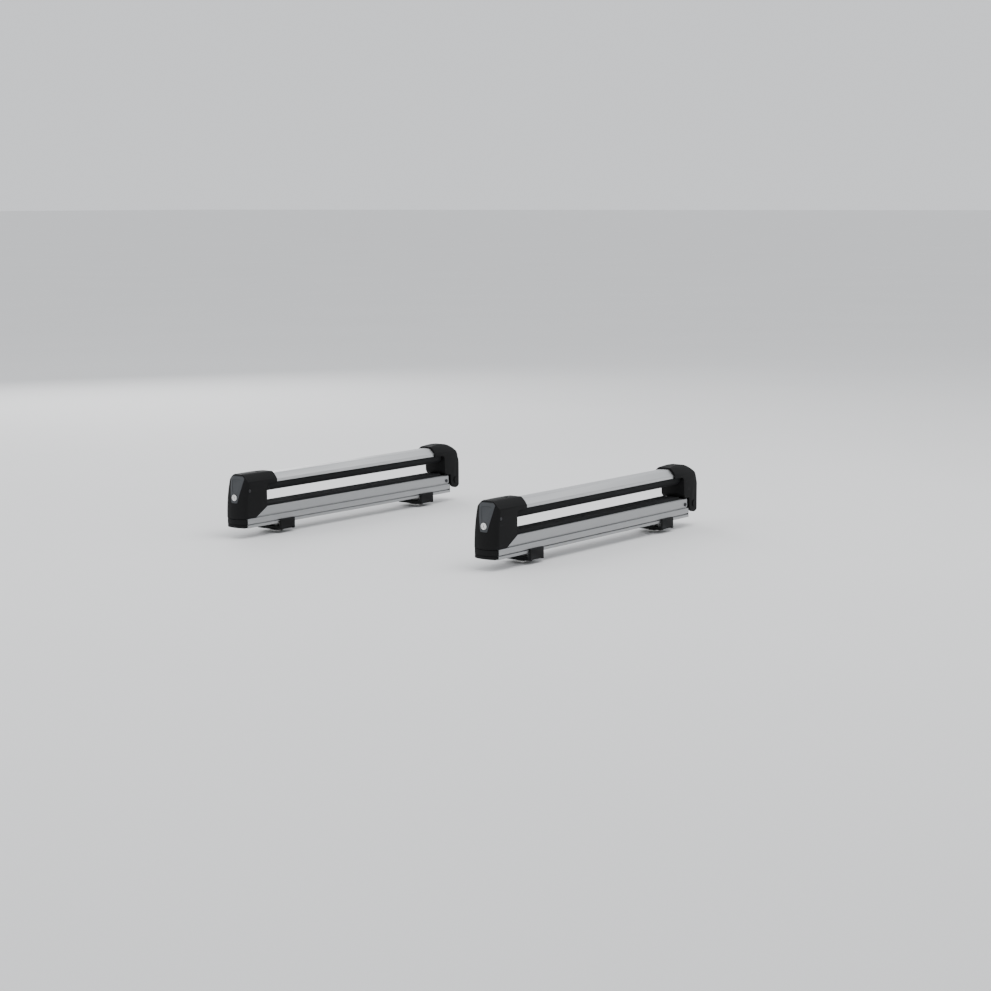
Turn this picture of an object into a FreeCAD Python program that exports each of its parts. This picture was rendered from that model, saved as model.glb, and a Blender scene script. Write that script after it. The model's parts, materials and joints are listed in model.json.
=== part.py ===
"""Pair of clamp-type roof ski carriers, modelled in FreeCAD, in millimetres.

Two identical carriers stand side by side on the two load bars of a roof rack. Each has a lower rail with
a rubber strip, and an upper arm with a rubber strip that swings up about a pin at the far end. The arm's
near end is a housing with a push button, a lock and a hooked pawl that catches a striker on the rail.

Row frame: X runs along the carriers (near end at -X), Y across from the front carrier to the rear one,
Z up. The origin is midway between the carriers, level with the underside of the T-bolt heads.
Inside the builders below, x is counted along the carrier from a datum just behind the near face, y from
the carrier's own middle, and z from the parting line between the housing and the rail's end cap.
"""

import FreeCAD
import Part
import math
import os

# ---------------------------------------------------------------- driving dimensions
NEAR_FACE = -3.0            # foremost point of the housing
FAR_END = 707.0             # hinge end
BAR_SPACING = 636.0         # between the middles of the two carriers
HALF_WIDTH = 28.6           # half of the housing's and the rail's width
RAIL_BOTTOM = -19.0
RAIL_TOP = 20.0
BAR_TOP = -33.0             # top face of the load bar under the brackets
SLOT_LIP = 3.5              # lips of the bar's T-slot
T_HEAD_HEIGHT = 4.0
BASE = T_HEAD_HEIGHT + SLOT_LIP - BAR_TOP   # parting line above the row's base plane
RUN_GAP = 0.05              # radial running clearance of pins
FIT_GAP = 0.15              # clearance of moulded parts round the extrusions

# lower rail
RAIL_START = 8.0
RAIL_END = 666.0
RAIL_UPPER_HALF = 25.8      # upper part of the rail, inside the housing's skirt
GROOVE_Z = -12.0
GROOVE_HALF = 1.0
GROOVE_FLOOR = 25.1
WALL = 2.2
CHAMBER_HALF = RAIL_UPPER_HALF - 0.5 - WALL
PLUG_HALF = CHAMBER_HALF - 1.0   # plugs of the end pieces inside the rail
PLUG_LOW = -5.5
PLUG_HIGH = 14.0
PAD_CHANNEL_FLOOR = RAIL_TOP - 3.0
PAD_START = 70.0
PAD_END = 645.0
LOWER_PAD_TOP = 25.5

# upper arm
ARM_BOTTOM = 67.0
ARM_TOP = 84.8
ARM_HALF = 23.1
ARM_START = 58.0
ARM_END = 652.0
UPPER_PAD_BOTTOM = 49.0
UPPER_PAD_HALF = 20.0
UPPER_PAD_END = 648.0
ARM_SCREWS = {"near": 67.0, "far": 647.0}

# housing at the near end
HOUSING_TOP = 90.0
HOUSING_BACK = 65.6
COLLAR_END = 98.0
COLLAR_HALF = 26.6
FRONT_HEIGHT = 84.0         # where the front face meets the brow
LEAN = 10.8                 # how far the front face leans back up to there
BOW = 56.0                  # plan radius of the front face
CORNER = 9.0                # plan radius of its corners
INNER_CORNER = 5.0          # and of the corners of the cavity
DRAFT = 1.6                 # how much narrower each side is at the shoulder
SHOULDER_Z = 72.0
SHELL = 2.2

# hinge end
AXIS_Z = 8.0
LOBE_RADIUS = 18.0
AXIS_X = FAR_END - LOBE_RADIUS
HINGE_PIN_RADIUS = 4.0
KNUCKLE_RADIUS = 13.0
KNUCKLE_HALF = 20.4
WASHER = 1.2
CHEEK_INNER = KNUCKLE_HALF + WASHER + 0.2
CHEEK_OUTER = 28.1
CAP_COLLAR = 617.0

# latch
PIVOT_X = 15.7
PIVOT_Z = 56.9
PIVOT_RADIUS = 2.0
STRIKER_X = 30.0
STRIKER_Z = 34.0
STRIKER_RADIUS = 3.0
STRIKER_HALF = 18.0
PAWL_INNER = 10.0
PAWL_OUTER = 13.0
LOCK_Z = 42.7
LOCK_RADIUS = 6.5
CORE_RADIUS = 4.5
BUTTON_GAP = 0.5
BUTTON_LOW = 31.8
PLUNGER_Z = 77.0            # axis of the button spring

# load-bar brackets
NEAR_BRACKET_X = 121.5
FAR_BRACKET_X = 579.5
BRACKET_HALF = 24.5
BRACKET_WIDTH = 33.6
BRACKET_WALL = 3.0
T_BOLT_RADIUS = 4.0

SIDES = {"front": -BAR_SPACING / 2, "rear": BAR_SPACING / 2}


# ---------------------------------------------------------------- helpers
def vec(x, y, z):
    return FreeCAD.Vector(x, y, z)


def box(x0, x1, y0, y1, z0, z1):
    """Box between two corners."""
    return Part.makeBox(x1 - x0, y1 - y0, z1 - z0, vec(x0, y0, z0))


def rod(start, end, radius):
    """Cylinder from one point to another."""
    direction = end - start
    return Part.makeCylinder(radius, direction.Length, start, direction)


def outline(points, lift):
    """Closed face from a list of 2D points; a pair ("arc", via, end) is a round stretch.

    lift turns a 2D point into a 3D one.
    """
    edges = []
    here = points[0]
    for item in points[1:] + [points[0]]:
        if item[0] == "arc":
            edges.append(Part.Arc(lift(*here), lift(*item[1]), lift(*item[2])).toShape())
            here = item[2]
        elif item != here:
            edges.append(Part.makeLine(lift(*here), lift(*item)))
            here = item
    return Part.Face(Part.Wire(edges))


def side_prism(points, half):
    """Prism of an (x, z) outline, from -half to +half across the carrier."""
    face = outline(points, lambda x, z: vec(x, -half, z))
    return face.extrude(vec(0, 2 * half, 0))


def section_prism(points, x0, x1):
    """Prism of a (y, z) outline along the carrier."""
    face = outline(points, lambda y, z: vec(x0, y, z))
    return face.extrude(vec(x1 - x0, 0, 0))


def plan_prism(points, z0, z1):
    """Prism of an (x, y) outline, upright."""
    face = outline(points, lambda x, y: vec(x, y, z0))
    return face.extrude(vec(0, 0, z1 - z0))


def mirrored(points):
    """Right half of a (y, z) outline, from bottom to top, made whole by its mirror image."""
    def end_of(item):
        point = item[2] if item[0] == "arc" else item
        return (-point[0], point[1])

    left = [end_of(points[-1])]
    for index in range(len(points) - 1, 0, -1):
        item = points[index]
        start = end_of(points[index - 1])
        left.append(("arc", (-item[1][0], item[1][1]), start) if item[0] == "arc" else start)
    return points + left


def both_sides(shape):
    """A shape and its mirror image across the carrier's middle plane."""
    return [shape, shape.mirror(vec(0, 0, 0), vec(0, 1, 0))]


def fused(shapes):
    """One solid from shapes that touch or overlap."""
    result = shapes[0].multiFuse(shapes[1:]).removeSplitter()
    return result.Solids[0] if len(result.Solids) == 1 else result


def cut(shape, tools):
    """A shape with tools taken away."""
    result = shape.cut(Part.makeCompound(tools)) if len(tools) > 1 else shape.cut(tools[0])
    return result.Solids[0] if len(result.Solids) == 1 else result


def coil(radius, wire, turns, start, axis):
    """Round-wire spring of a given mean radius, from start along axis."""
    length = axis.Length
    helix = Part.makeHelix(length / turns, length, radius)
    ring = Part.Wire([Part.makeCircle(wire, vec(radius, 0, 0), vec(0, 1, 0))])
    spring = Part.Wire(helix.Edges).makePipeShell([ring], True, True)
    spring.Placement = FreeCAD.Placement(start, FreeCAD.Rotation(vec(0, 0, 1), axis))
    return spring


# ---------------------------------------------------------------- fixed assembly
def rail_section():
    """Outside of the lower rail: grooved base strips, stepped in where the skirt comes down."""
    upper = RAIL_UPPER_HALF
    return mirrored([
        (0, RAIL_BOTTOM),
        (HALF_WIDTH - 1.5, RAIL_BOTTOM),
        ("arc", (HALF_WIDTH - 0.4, RAIL_BOTTOM + 0.4), (HALF_WIDTH, RAIL_BOTTOM + 1.5)),
        (HALF_WIDTH, GROOVE_Z - GROOVE_HALF),
        (GROOVE_FLOOR, GROOVE_Z - GROOVE_HALF),
        (GROOVE_FLOOR, GROOVE_Z + GROOVE_HALF),
        (HALF_WIDTH, GROOVE_Z + GROOVE_HALF),
        (HALF_WIDTH, 0),
        (upper + 0.3, 0),
        (upper - 1.3, 0.6),
        (upper - 1.3, 2.2),
        (upper, 3.0),
        (upper - 0.5, RAIL_TOP - 2.5),
        ("arc", (upper - 1.1, RAIL_TOP - 0.7), (upper - 3, RAIL_TOP)),
        (0, RAIL_TOP),
    ])


def rail_screw_points():
    """Where the screws of the hinge block pass through the rail's side."""
    return [(RAIL_END - 8, 8.0)]


def striker_screw_points():
    return [(39.0, 11.0), (39.0, -11.0)]


def lower_rail():
    """Extruded rail: two hollow chambers and a dovetail channel for the rubber strip."""
    inner = CHAMBER_HALF
    tools = [
        box(0, FAR_END, -inner, inner, RAIL_BOTTOM + WALL, -8),
        box(0, FAR_END, -inner, inner, -6, PAD_CHANNEL_FLOOR - WALL),
        section_prism(pad_key(), PAD_START, FAR_END),
    ]
    for x, z in rail_screw_points():
        tools.append(rod(vec(x, -HALF_WIDTH - 2, z), vec(x, HALF_WIDTH + 2, z), 2.0))
    for x, y in striker_screw_points():
        tools.append(rod(vec(x, y, 10), vec(x, y, 30), 2.0))
    return cut(section_prism(rail_section(), RAIL_START, RAIL_END), tools)


def pad_key():
    """Dovetail that holds the lower rubber strip in the rail."""
    return [(-17, PAD_CHANNEL_FLOOR), (17, PAD_CHANNEL_FLOOR), (15, RAIL_TOP), (-15, RAIL_TOP)]


def lower_pad():
    """Ribbed rubber strip, keyed into the rail's channel."""
    ribs = [(-20, RAIL_TOP), (20, RAIL_TOP), (20, RAIL_TOP + 3)]
    for centre in (16, 8, 0, -8, -16):
        ribs.append((centre + 3.2, RAIL_TOP + 3))
        ribs.append(("arc", (centre, LOWER_PAD_TOP), (centre - 3.2, RAIL_TOP + 3)))
    ribs.append((-20, RAIL_TOP + 3))
    return fused([section_prism(pad_key(), PAD_START, PAD_END), section_prism(ribs, PAD_START, PAD_END)])


def near_end_cap():
    """Two-tier cap on the rail's near end, bowed like the housing, with a plug in the rail's chamber."""
    rim = 0.8
    half = HALF_WIDTH - rim
    line = 0.6
    corner = 4.0
    lower = RAIL_BOTTOM + corner
    body = barrel(NEAR_FACE + rim, half, 20.0, RAIL_BOTTOM, -0.4)
    core = barrel(NEAR_FACE + rim + 2, half - 2, 20.0, RAIL_BOTTOM + 1, -1)
    body = cut(body, [box(-10, 30, -30, 30, GROOVE_Z - line, GROOVE_Z + line)])
    rounding = mirrored([(0, RAIL_BOTTOM), (half - corner, RAIL_BOTTOM),
                         ("arc", (half - 1.2, RAIL_BOTTOM + 1.2), (half, lower)), (half, 0), (0, 0)])
    tiers = fused(body.Solids + [core]).common(section_prism(rounding, NEAR_FACE, RAIL_START))
    upper_half = RAIL_UPPER_HALF - 2.5
    upper = box(RAIL_START - 1.5, RAIL_START, -upper_half, upper_half, -2, RAIL_TOP - 1)
    plug = box(RAIL_START, RAIL_START + 14, -PLUG_HALF, PLUG_HALF, PLUG_LOW, PLUG_HIGH)
    return fused([tiers, upper, plug])


def hinge_block():
    """Far end block of the rail: flange, plug, and the knuckle that holds the hinge pin."""
    flange = box(RAIL_END, RAIL_END + 2.5, -CHEEK_OUTER, CHEEK_OUTER, RAIL_BOTTOM, -0.5)
    upper = box(RAIL_END, RAIL_END + 2.5, -KNUCKLE_HALF, KNUCKLE_HALF, -0.5, RAIL_TOP - 2)
    plug = box(RAIL_END - 18, RAIL_END, -PLUG_HALF, PLUG_HALF, PLUG_LOW, PLUG_HIGH)
    neck = box(RAIL_END, AXIS_X, -KNUCKLE_HALF, KNUCKLE_HALF, RAIL_BOTTOM + 14, AXIS_Z + 8)
    knuckle = rod(vec(AXIS_X, -KNUCKLE_HALF, AXIS_Z), vec(AXIS_X, KNUCKLE_HALF, AXIS_Z), KNUCKLE_RADIUS)
    tools = [rod(vec(AXIS_X, -30, AXIS_Z), vec(AXIS_X, 30, AXIS_Z), HINGE_PIN_RADIUS + RUN_GAP)]
    for x, z in rail_screw_points():
        tools.append(rod(vec(x, -30, z), vec(x, -8, z), 2.0))
        tools.append(rod(vec(x, 8, z), vec(x, 30, z), 2.0))
    return cut(fused([flange, upper, plug, neck, knuckle]), tools)


def hinge_pin():
    """Pin through the cheeks and the knuckle, a little longer than the cap is wide."""
    end = CHEEK_OUTER + 0.7
    return rod(vec(AXIS_X, -end, AXIS_Z), vec(AXIS_X, end, AXIS_Z), HINGE_PIN_RADIUS)


def hinge_pin_caps():
    """Push-on caps over both ends of the hinge pin."""
    inner = CHEEK_OUTER + 0.3
    cap = rod(vec(AXIS_X, inner, AXIS_Z), vec(AXIS_X, inner + 2.0, AXIS_Z), 7.0)
    hole = rod(vec(AXIS_X, inner - 1, AXIS_Z), vec(AXIS_X, inner + 0.4, AXIS_Z), HINGE_PIN_RADIUS)
    return both_sides(cut(cap, [hole]))


def hinge_washers():
    """Nylon washers between the knuckle and the arm's cheeks."""
    ring = rod(vec(AXIS_X, KNUCKLE_HALF, AXIS_Z), vec(AXIS_X, KNUCKLE_HALF + WASHER, AXIS_Z), 10.0)
    hole = rod(vec(AXIS_X, KNUCKLE_HALF - 1, AXIS_Z), vec(AXIS_X, CHEEK_OUTER, AXIS_Z), HINGE_PIN_RADIUS + RUN_GAP)
    return both_sides(cut(ring, [hole]))


def screw(head_centre, direction, length, radius, head_radius, head_height):
    """Pan-head screw: the head stands out of the face, the shank goes in along direction."""
    tip = head_centre + direction * length
    top = head_centre - direction * head_height
    socket = rod(top, top + direction * (head_height / 2), head_radius * 0.45)
    return cut(fused([rod(head_centre, tip, radius), rod(top, head_centre, head_radius)]), [socket])


def hinge_screws():
    """Screws through the rail's sides into the hinge block's plug."""
    found = []
    for x, z in rail_screw_points():
        found += both_sides(screw(vec(x, RAIL_UPPER_HALF, z), vec(0, -1, 0), 12.0, 2.0, 4.0, 1.8))
    return found


def striker():
    """Steel keeper on the rail: base plate, two posts and the cross bar that the pawl hooks."""
    plate_top = RAIL_TOP + 2.0
    plate = box(24.0, 45.0, -21.0, 21.0, RAIL_TOP, plate_top)
    parts = [plate, rod(vec(STRIKER_X, -STRIKER_HALF, STRIKER_Z), vec(STRIKER_X, STRIKER_HALF, STRIKER_Z),
                        STRIKER_RADIUS)]
    for y in (-STRIKER_HALF, STRIKER_HALF):
        parts.append(rod(vec(STRIKER_X, y, plate_top - 1), vec(STRIKER_X, y, STRIKER_Z), STRIKER_RADIUS))
        parts.append(Part.makeSphere(STRIKER_RADIUS, vec(STRIKER_X, y, STRIKER_Z)))
    holes = [rod(vec(x, y, 10), vec(x, y, 30), 2.0) for x, y in striker_screw_points()]
    return cut(fused(parts), holes)


def striker_screws():
    top = RAIL_TOP + 2.0
    return [screw(vec(x, y, top), vec(0, 0, -1), 9.0, 2.0, 3.8, 2.2) for x, y in striker_screw_points()]


def bar_bracket(centre_x):
    """Channel that stands on the load bar and hooks into both side grooves of the rail."""
    left = centre_x - BRACKET_HALF
    right = centre_x + BRACKET_HALF
    top = GROOVE_Z + GROOVE_HALF - 0.2
    wide = BRACKET_WIDTH
    chamfer = 4.0
    plan = plan_prism([(left, -wide + chamfer), (left + chamfer, -wide), (right - chamfer, -wide),
                       (right, -wide + chamfer), (right, wide - chamfer), (right - chamfer, wide),
                       (left + chamfer, wide), (left, wide - chamfer)], BAR_TOP, top)
    profile = side_prism([(left, BAR_TOP), (right, BAR_TOP), (right, top), (left + 9, top),
                          (left, top - 9)], wide + 1)
    inner = wide - BRACKET_WALL
    tools = [
        box(left - 1, right + 1, -inner, inner, BAR_TOP + 6.5, GROOVE_Z - GROOVE_HALF + 0.2),
        box(left - 1, right + 1, -GROOVE_FLOOR - 0.5, GROOVE_FLOOR + 0.5, BAR_TOP + 6, top + 1),
        box(left + 8, right - 8, -wide - 1, wide + 1, BAR_TOP - 1, BAR_TOP + 3),
        rod(vec(centre_x, 0, BAR_TOP - 1), vec(centre_x, 0, 0), T_BOLT_RADIUS + 0.3),
    ]
    return cut(plan.common(profile), tools)


def bar_pads():
    """Rubber pads under the brackets, between their feet."""
    pads = []
    for centre in (NEAR_BRACKET_X, FAR_BRACKET_X):
        half = BRACKET_HALF - 8.5
        pad = box(centre - half, centre + half, -BRACKET_WIDTH + 4, BRACKET_WIDTH - 4, BAR_TOP, BAR_TOP + 3)
        pads.append(cut(pad, [rod(vec(centre, 0, BAR_TOP - 1), vec(centre, 0, 0), T_BOLT_RADIUS + 0.3)]))
    return pads


def t_bolts():
    """Bolts with flat square heads that slide in the load bar's T-slot."""
    bolts = []
    head_top = BAR_TOP - SLOT_LIP
    for centre in (NEAR_BRACKET_X, FAR_BRACKET_X):
        head = box(centre - 12, centre + 12, -9.5, 9.5, head_top - T_HEAD_HEIGHT, head_top)
        shank = rod(vec(centre, 0, head_top - 1), vec(centre, 0, RAIL_BOTTOM - 1.0), T_BOLT_RADIUS)
        bolts.append(fused([head, shank]))
    return bolts


def t_bolt_nuts():
    """Flanged nuts that pull the brackets down on the load bars."""
    nuts = []
    seat = BAR_TOP + 6.5
    for centre in (NEAR_BRACKET_X, FAR_BRACKET_X):
        corners = [(centre + 7.5 * math.cos(math.radians(60 * step)), 7.5 * math.sin(math.radians(60 * step)))
                   for step in range(6)]
        hexagon = plan_prism(corners, seat + 1.0, seat + 6.0)
        flange = rod(vec(centre, 0, seat), vec(centre, 0, seat + 1.2), 9.0)
        bore = rod(vec(centre, 0, seat - 1), vec(centre, 0, seat + 8), T_BOLT_RADIUS)
        nuts.append(cut(fused([hexagon, flange]), [bore]))
    return nuts


# ---------------------------------------------------------------- upper arm
def arm_section(grow):
    """Outside of the upper extrusion: flat bottom, short upright sides, sloped shoulders, shallow crown."""
    half = ARM_HALF + grow
    top = ARM_TOP + grow
    return mirrored([
        (0, ARM_BOTTOM - grow),
        (half - 0.5, ARM_BOTTOM - grow),
        (half, ARM_BOTTOM + 4),
        ("arc", (half - 0.3, ARM_BOTTOM + 5.7), (half - 1.0, ARM_BOTTOM + 7)),
        (half - 10.6, top - 1.2),
        ("arc", (half - 16.5, top - 0.3), (0, top)),
    ])


def upper_profile():
    """Extruded arm: hollow crown over a T-slot that holds the rubber strip."""
    hollow = mirrored([(0, ARM_BOTTOM + 7), (ARM_HALF - 4.1, ARM_BOTTOM + 7), (ARM_HALF - 11.8, ARM_TOP - 3.1),
                       ("arc", (6, ARM_TOP - 2.3), (0, ARM_TOP - 2.1))])
    tools = [
        section_prism(hollow, 0, FAR_END),
        box(0, FAR_END, -5, 5, ARM_BOTTOM - 1, ARM_BOTTOM + 2),
        box(0, FAR_END, -9, 9, ARM_BOTTOM + 2, ARM_BOTTOM + 5),
    ]
    for x in ARM_SCREWS.values():
        tools.append(rod(vec(x, 0, ARM_BOTTOM + 9), vec(x, 0, 95), 2.0))
    return cut(section_prism(arm_section(0), ARM_START, ARM_END), tools)


def upper_pad():
    """Rubber strip of D-shaped section, keyed into the arm's T-slot."""
    bottom = UPPER_PAD_BOTTOM
    half = UPPER_PAD_HALF
    body = mirrored([(0, bottom), ("arc", (half * 0.72, bottom + 3.2), (half, bottom + 11)),
                     (half - 0.8, ARM_BOTTOM), (0, ARM_BOTTOM)])
    start = HOUSING_BACK + 1.0
    end = UPPER_PAD_END
    neck = box(start, end, -4.8, 4.8, ARM_BOTTOM, ARM_BOTTOM + 2.2)
    head = box(start, end, -8.6, 8.6, ARM_BOTTOM + 2.2, ARM_BOTTOM + 4.8)
    return fused([section_prism(body, start, end), neck, head])


def front_x(z):
    """Front face of the housing at a height: upright at the foot, leaning back towards the brow."""
    return NEAR_FACE + LEAN * (max(z, 0.0) / FRONT_HEIGHT) ** 2.5


def barrel_wire(front, half, back, z, corner=CORNER):
    """Plan outline at one height: bowed front, round corners, straight sides to x = back."""
    edge = (half - corner) / (1 - corner / BOW)
    turn = math.asin(edge / BOW)
    edge_x = front + BOW * (1 - math.cos(turn))
    side_x = edge_x + corner * math.cos(turn)
    middle = (turn + math.pi / 2) / 2
    via_x = side_x - corner * math.cos(middle)
    via_y = half - corner + corner * math.sin(middle)
    face = outline([(back, -half), (side_x, -half), ("arc", (via_x, -via_y), (edge_x, -edge)),
                    ("arc", (front, 0), (edge_x, edge)), ("arc", (via_x, via_y), (side_x, half)), (back, half)],
                   lambda x, y: vec(x, y, z))
    return face.OuterWire


def barrel(front, half, back, z0, z1):
    """Upright solid of the bowed plan outline."""
    return Part.Face(barrel_wire(front, half, back, z0)).extrude(vec(0, 0, z1 - z0))


def leaning_form(inset, narrower, corner=CORNER):
    """Solid behind the leaning, bowed front face, moved in by inset and narrowed at the sides."""
    wires = []
    for z in (-6, 12, 28, 42, 54, 65, 75, 84, 98):
        half = HALF_WIDTH - narrower - DRAFT * max(z, 0) / SHOULDER_Z
        wires.append(barrel_wire(front_x(z) + inset, half, 64.0, z, corner))
    return Part.makeLoft(wires, True, True)


def crown_section(half, top, draft=0.0, sink=0.0):
    """Cross-section of the housing and hinge cap: drafted sides, sloped shoulders, flat crown.

    sink lowers the shoulders, for the walls of a cavity.
    """
    narrow = half - draft
    low = SHOULDER_Z - sink
    return mirrored([(0, -40), (half, -40), (half, 0), (narrow, low), (narrow - 2.4, low + 4.2),
                     ("arc", (narrow - 6.8, low + 10), (narrow - 13, low + 15.6)),
                     (narrow - 17, top - 1), (0, top)])


def button_outline(grow):
    """Shield shape of the button in (y, z), widened by grow."""
    top = 95.0
    low = BUTTON_LOW
    return mirrored([(0, low - grow), (5.5 + grow / 2, low - grow),
                     ("arc", (7.6 + grow * 0.8, low + 1.0 - grow * 0.6), (8.6 + grow, low + 3.7)),
                     (14.9 + grow, 62.0), (18.0 + grow, 81.0), (17.2 + grow, 82.4), (12.6 + grow, 86.6),
                     (12.6, top), (0, top)])


def housing():
    """Moulded housing: hollow body with a diagonal skirt, and a collar round the arm."""
    top = HOUSING_TOP
    under = ARM_BOTTOM - 0.3
    side = [(-10, 0.6), (-10, 85.6), (8.4, 85.6), (10.4, top - 2.2), ("arc", (12.2, top - 1.1), (16.5, top - 0.6)),
            ("arc", (56.0, top), (COLLAR_END, top - 1.6)), (COLLAR_END, under), (74.0, under),
            ("arc", (68.2, 64.4), (66.0, 59.0)), (HOUSING_BACK, 20.3), (31.7, 0.6)]
    collar = plan_prism([(60, -HALF_WIDTH), (64, -HALF_WIDTH), (COLLAR_END, -COLLAR_HALF), (COLLAR_END, COLLAR_HALF),
                         (64, HALF_WIDTH), (60, HALF_WIDTH)], -6, 98)
    rounded = section_prism(crown_section(HALF_WIDTH, top + 1.0, DRAFT), -10, 110)
    outer = fused([leaning_form(0, 0), collar]).common(rounded).common(side_prism(side, HALF_WIDTH + 5))
    cavity_top = top - 3.2
    inner = HALF_WIDTH - SHELL
    hollow = side_prism([(-10, -5), (-10, 83), (13, 83), (15, cavity_top), (ARM_START - 2, cavity_top),
                         (ARM_START - 2, 62.0), (HOUSING_BACK - SHELL, 62.0), (HOUSING_BACK - SHELL, -5)], inner)
    cavity = leaning_form(SHELL + 0.6, SHELL, INNER_CORNER).common(hollow)
    cavity = cavity.common(section_prism(crown_section(inner, cavity_top, DRAFT, 2.0), -10, 110))
    opening = section_prism(button_outline(BUTTON_GAP), -10, 11).common(box(-10, 11, -30, 30, 0, cavity_top))
    travel = section_prism(button_outline(BUTTON_GAP), 9, 19).common(box(9, 19, -30, 30, 0, cavity_top))
    travel = travel.common(section_prism(crown_section(HALF_WIDTH - 1.2, top - 1.2, DRAFT, 0.6), 9, 19))
    pad_slot = box(HOUSING_BACK + 0.7, 110, -UPPER_PAD_HALF - 0.3, UPPER_PAD_HALF + 0.3, 40, ARM_BOTTOM)
    rail_slot = box(HOUSING_BACK - 5, HOUSING_BACK + 5, -inner, inner, -5, RAIL_TOP + 1)
    tools = [cavity, opening, travel, pad_slot, rail_slot,
             section_prism(arm_section(FIT_GAP), ARM_START - 3, 110),
             rod(vec(PIVOT_X, -40, PIVOT_Z), vec(PIVOT_X, 40, PIVOT_Z), 3.0),
             arm_screw_hole(ARM_SCREWS["near"])]
    return cut(outer, tools)


def arm_screw_hole(x):
    """Countersunk hole from the crown down to the arm."""
    seat = ARM_TOP + 1.2
    return fused([rod(vec(x, 0, 75), vec(x, 0, 95), 2.0), rod(vec(x, 0, seat), vec(x, 0, 95), 4.3)])


def arm_screws():
    """Screws that hold the housing and the hinge cap on the arm."""
    seat = ARM_TOP + 1.2
    found = []
    for x in ARM_SCREWS.values():
        found.append(screw(vec(x, 0, seat), vec(0, 0, -1), 8.0, 2.0, 4.0, 2.0))
    return found


def spring_seat():
    """Plug in the arm's near end that backs the button spring."""
    plate = box(ARM_START - 2, ARM_START, -13, 13, ARM_BOTTOM + 2, 81.5)
    plug = box(ARM_START, ARM_START + 5, -12, 12, ARM_BOTTOM + 7.3, 80.5)
    nose = rod(vec(ARM_START - 6, 0, PLUNGER_Z), vec(ARM_START, 0, PLUNGER_Z), 2.4)
    return fused([plate, plug, nose])


def hinge_cap():
    """Moulded far end of the arm: collar, closed back and two cheeks that carry the pin."""
    lobe = LOBE_RADIUS
    side = [(CAP_COLLAR, ARM_BOTTOM - 0.3), (640.0, ARM_BOTTOM - 0.3), ("arc", (646.2, 64.6), (649.0, 58.0)),
            (650.5, 34.0), ("arc", (653.2, 25.4), (661.0, 22.0)), (671.0, 22.0),
            ("arc", (AXIS_X - lobe + 0.2, 14.5), (AXIS_X - lobe, AXIS_Z)),
            ("arc", (AXIS_X, AXIS_Z - lobe), (AXIS_X + lobe, AXIS_Z)),
            ("arc", (FAR_END - 1.0, 36.0), (700.5, 62.0)), ("arc", (695.4, 76.5), (686.0, 84.6)),
            ("arc", (661.0, 91.0), (CAP_COLLAR, 88.2))]
    half = CHEEK_OUTER
    end = FAR_END
    plan = plan_prism([(CAP_COLLAR, -COLLAR_HALF), (645, -half), (end - 9, -half),
                       ("arc", (end - 2.6, -half + 2.6), (end, -half + 9)), (end, half - 9),
                       ("arc", (end - 2.6, half - 2.6), (end - 9, half)), (645, half),
                       (CAP_COLLAR, COLLAR_HALF)], -40, 110)
    outer = side_prism(side, half + 5).common(plan)
    outer = outer.common(section_prism(crown_section(half, 92.0), 600, 720))
    knuckle_room = KNUCKLE_RADIUS + 1.5
    room = box(640, AXIS_X + knuckle_room, -CHEEK_INNER, CHEEK_INNER, AXIS_Z - 40, AXIS_Z + knuckle_room)
    hollow = side_prism([(656, 30), (AXIS_X + 10, 30), (AXIS_X + 5, 64), (AXIS_X - 6, 80), (656, 84)],
                        half - 3).common(section_prism(crown_section(half - 3, 88.0, 0.0, 2.0), 600, 720))
    room_top = box(654, AXIS_X + 12, -CHEEK_INNER, CHEEK_INNER, 20, 31)
    pad_slot = box(600, UPPER_PAD_END + 0.3, -UPPER_PAD_HALF - 0.3, UPPER_PAD_HALF + 0.3, 40, ARM_BOTTOM)
    tools = [section_prism(arm_section(FIT_GAP), 600, ARM_END + 0.2), room, hollow, room_top, pad_slot,
             rod(vec(AXIS_X, -40, AXIS_Z), vec(AXIS_X, 40, AXIS_Z), HINGE_PIN_RADIUS + RUN_GAP),
             arm_screw_hole(ARM_SCREWS["far"])]
    return cut(outer, tools)


# ---------------------------------------------------------------- latch, button and lock
def pawl_pin():
    """Headed pin across the housing on which the pawl turns."""
    shank = rod(vec(PIVOT_X, -HALF_WIDTH + 1.5, PIVOT_Z), vec(PIVOT_X, HALF_WIDTH - 1.5, PIVOT_Z), PIVOT_RADIUS)
    parts = [shank]
    for side in (-1, 1):
        start = vec(PIVOT_X, side * (HALF_WIDTH - SHELL), PIVOT_Z)
        parts.append(rod(start, vec(PIVOT_X, side * (HALF_WIDTH - 0.4), PIVOT_Z), 3.0))
    return fused(parts)


def latch_pawl():
    """Steel fork: two hooked plates joined by a cross bar behind the button."""
    hook = [(PIVOT_X - 4.2, 78.0), (PIVOT_X + 1.5, 78.0), (PIVOT_X + 5.5, PIVOT_Z), (26.0, 42.0),
            (26.3, 30.6), (33.0, 30.6), ("arc", (31.5, 27.6), (27.5, 26.0)), (22.0, 26.0),
            (PIVOT_X - 4.0, PIVOT_Z - 3)]
    plates = side_prism(hook, PAWL_OUTER)
    plates = cut(plates, [box(0, 60, -PAWL_INNER, PAWL_INNER, 0, 90)])
    bridge = box(PIVOT_X + 0.3, PIVOT_X + 3.5, -PAWL_INNER - 1, PAWL_INNER + 1, 62.5, 68.0)
    bore = rod(vec(0, -40, 0), vec(0, 40, 0), PIVOT_RADIUS + RUN_GAP)
    bore.translate(vec(PIVOT_X, 0, PIVOT_Z))
    return cut(fused(plates.Solids + [bridge]), [bore])


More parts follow.
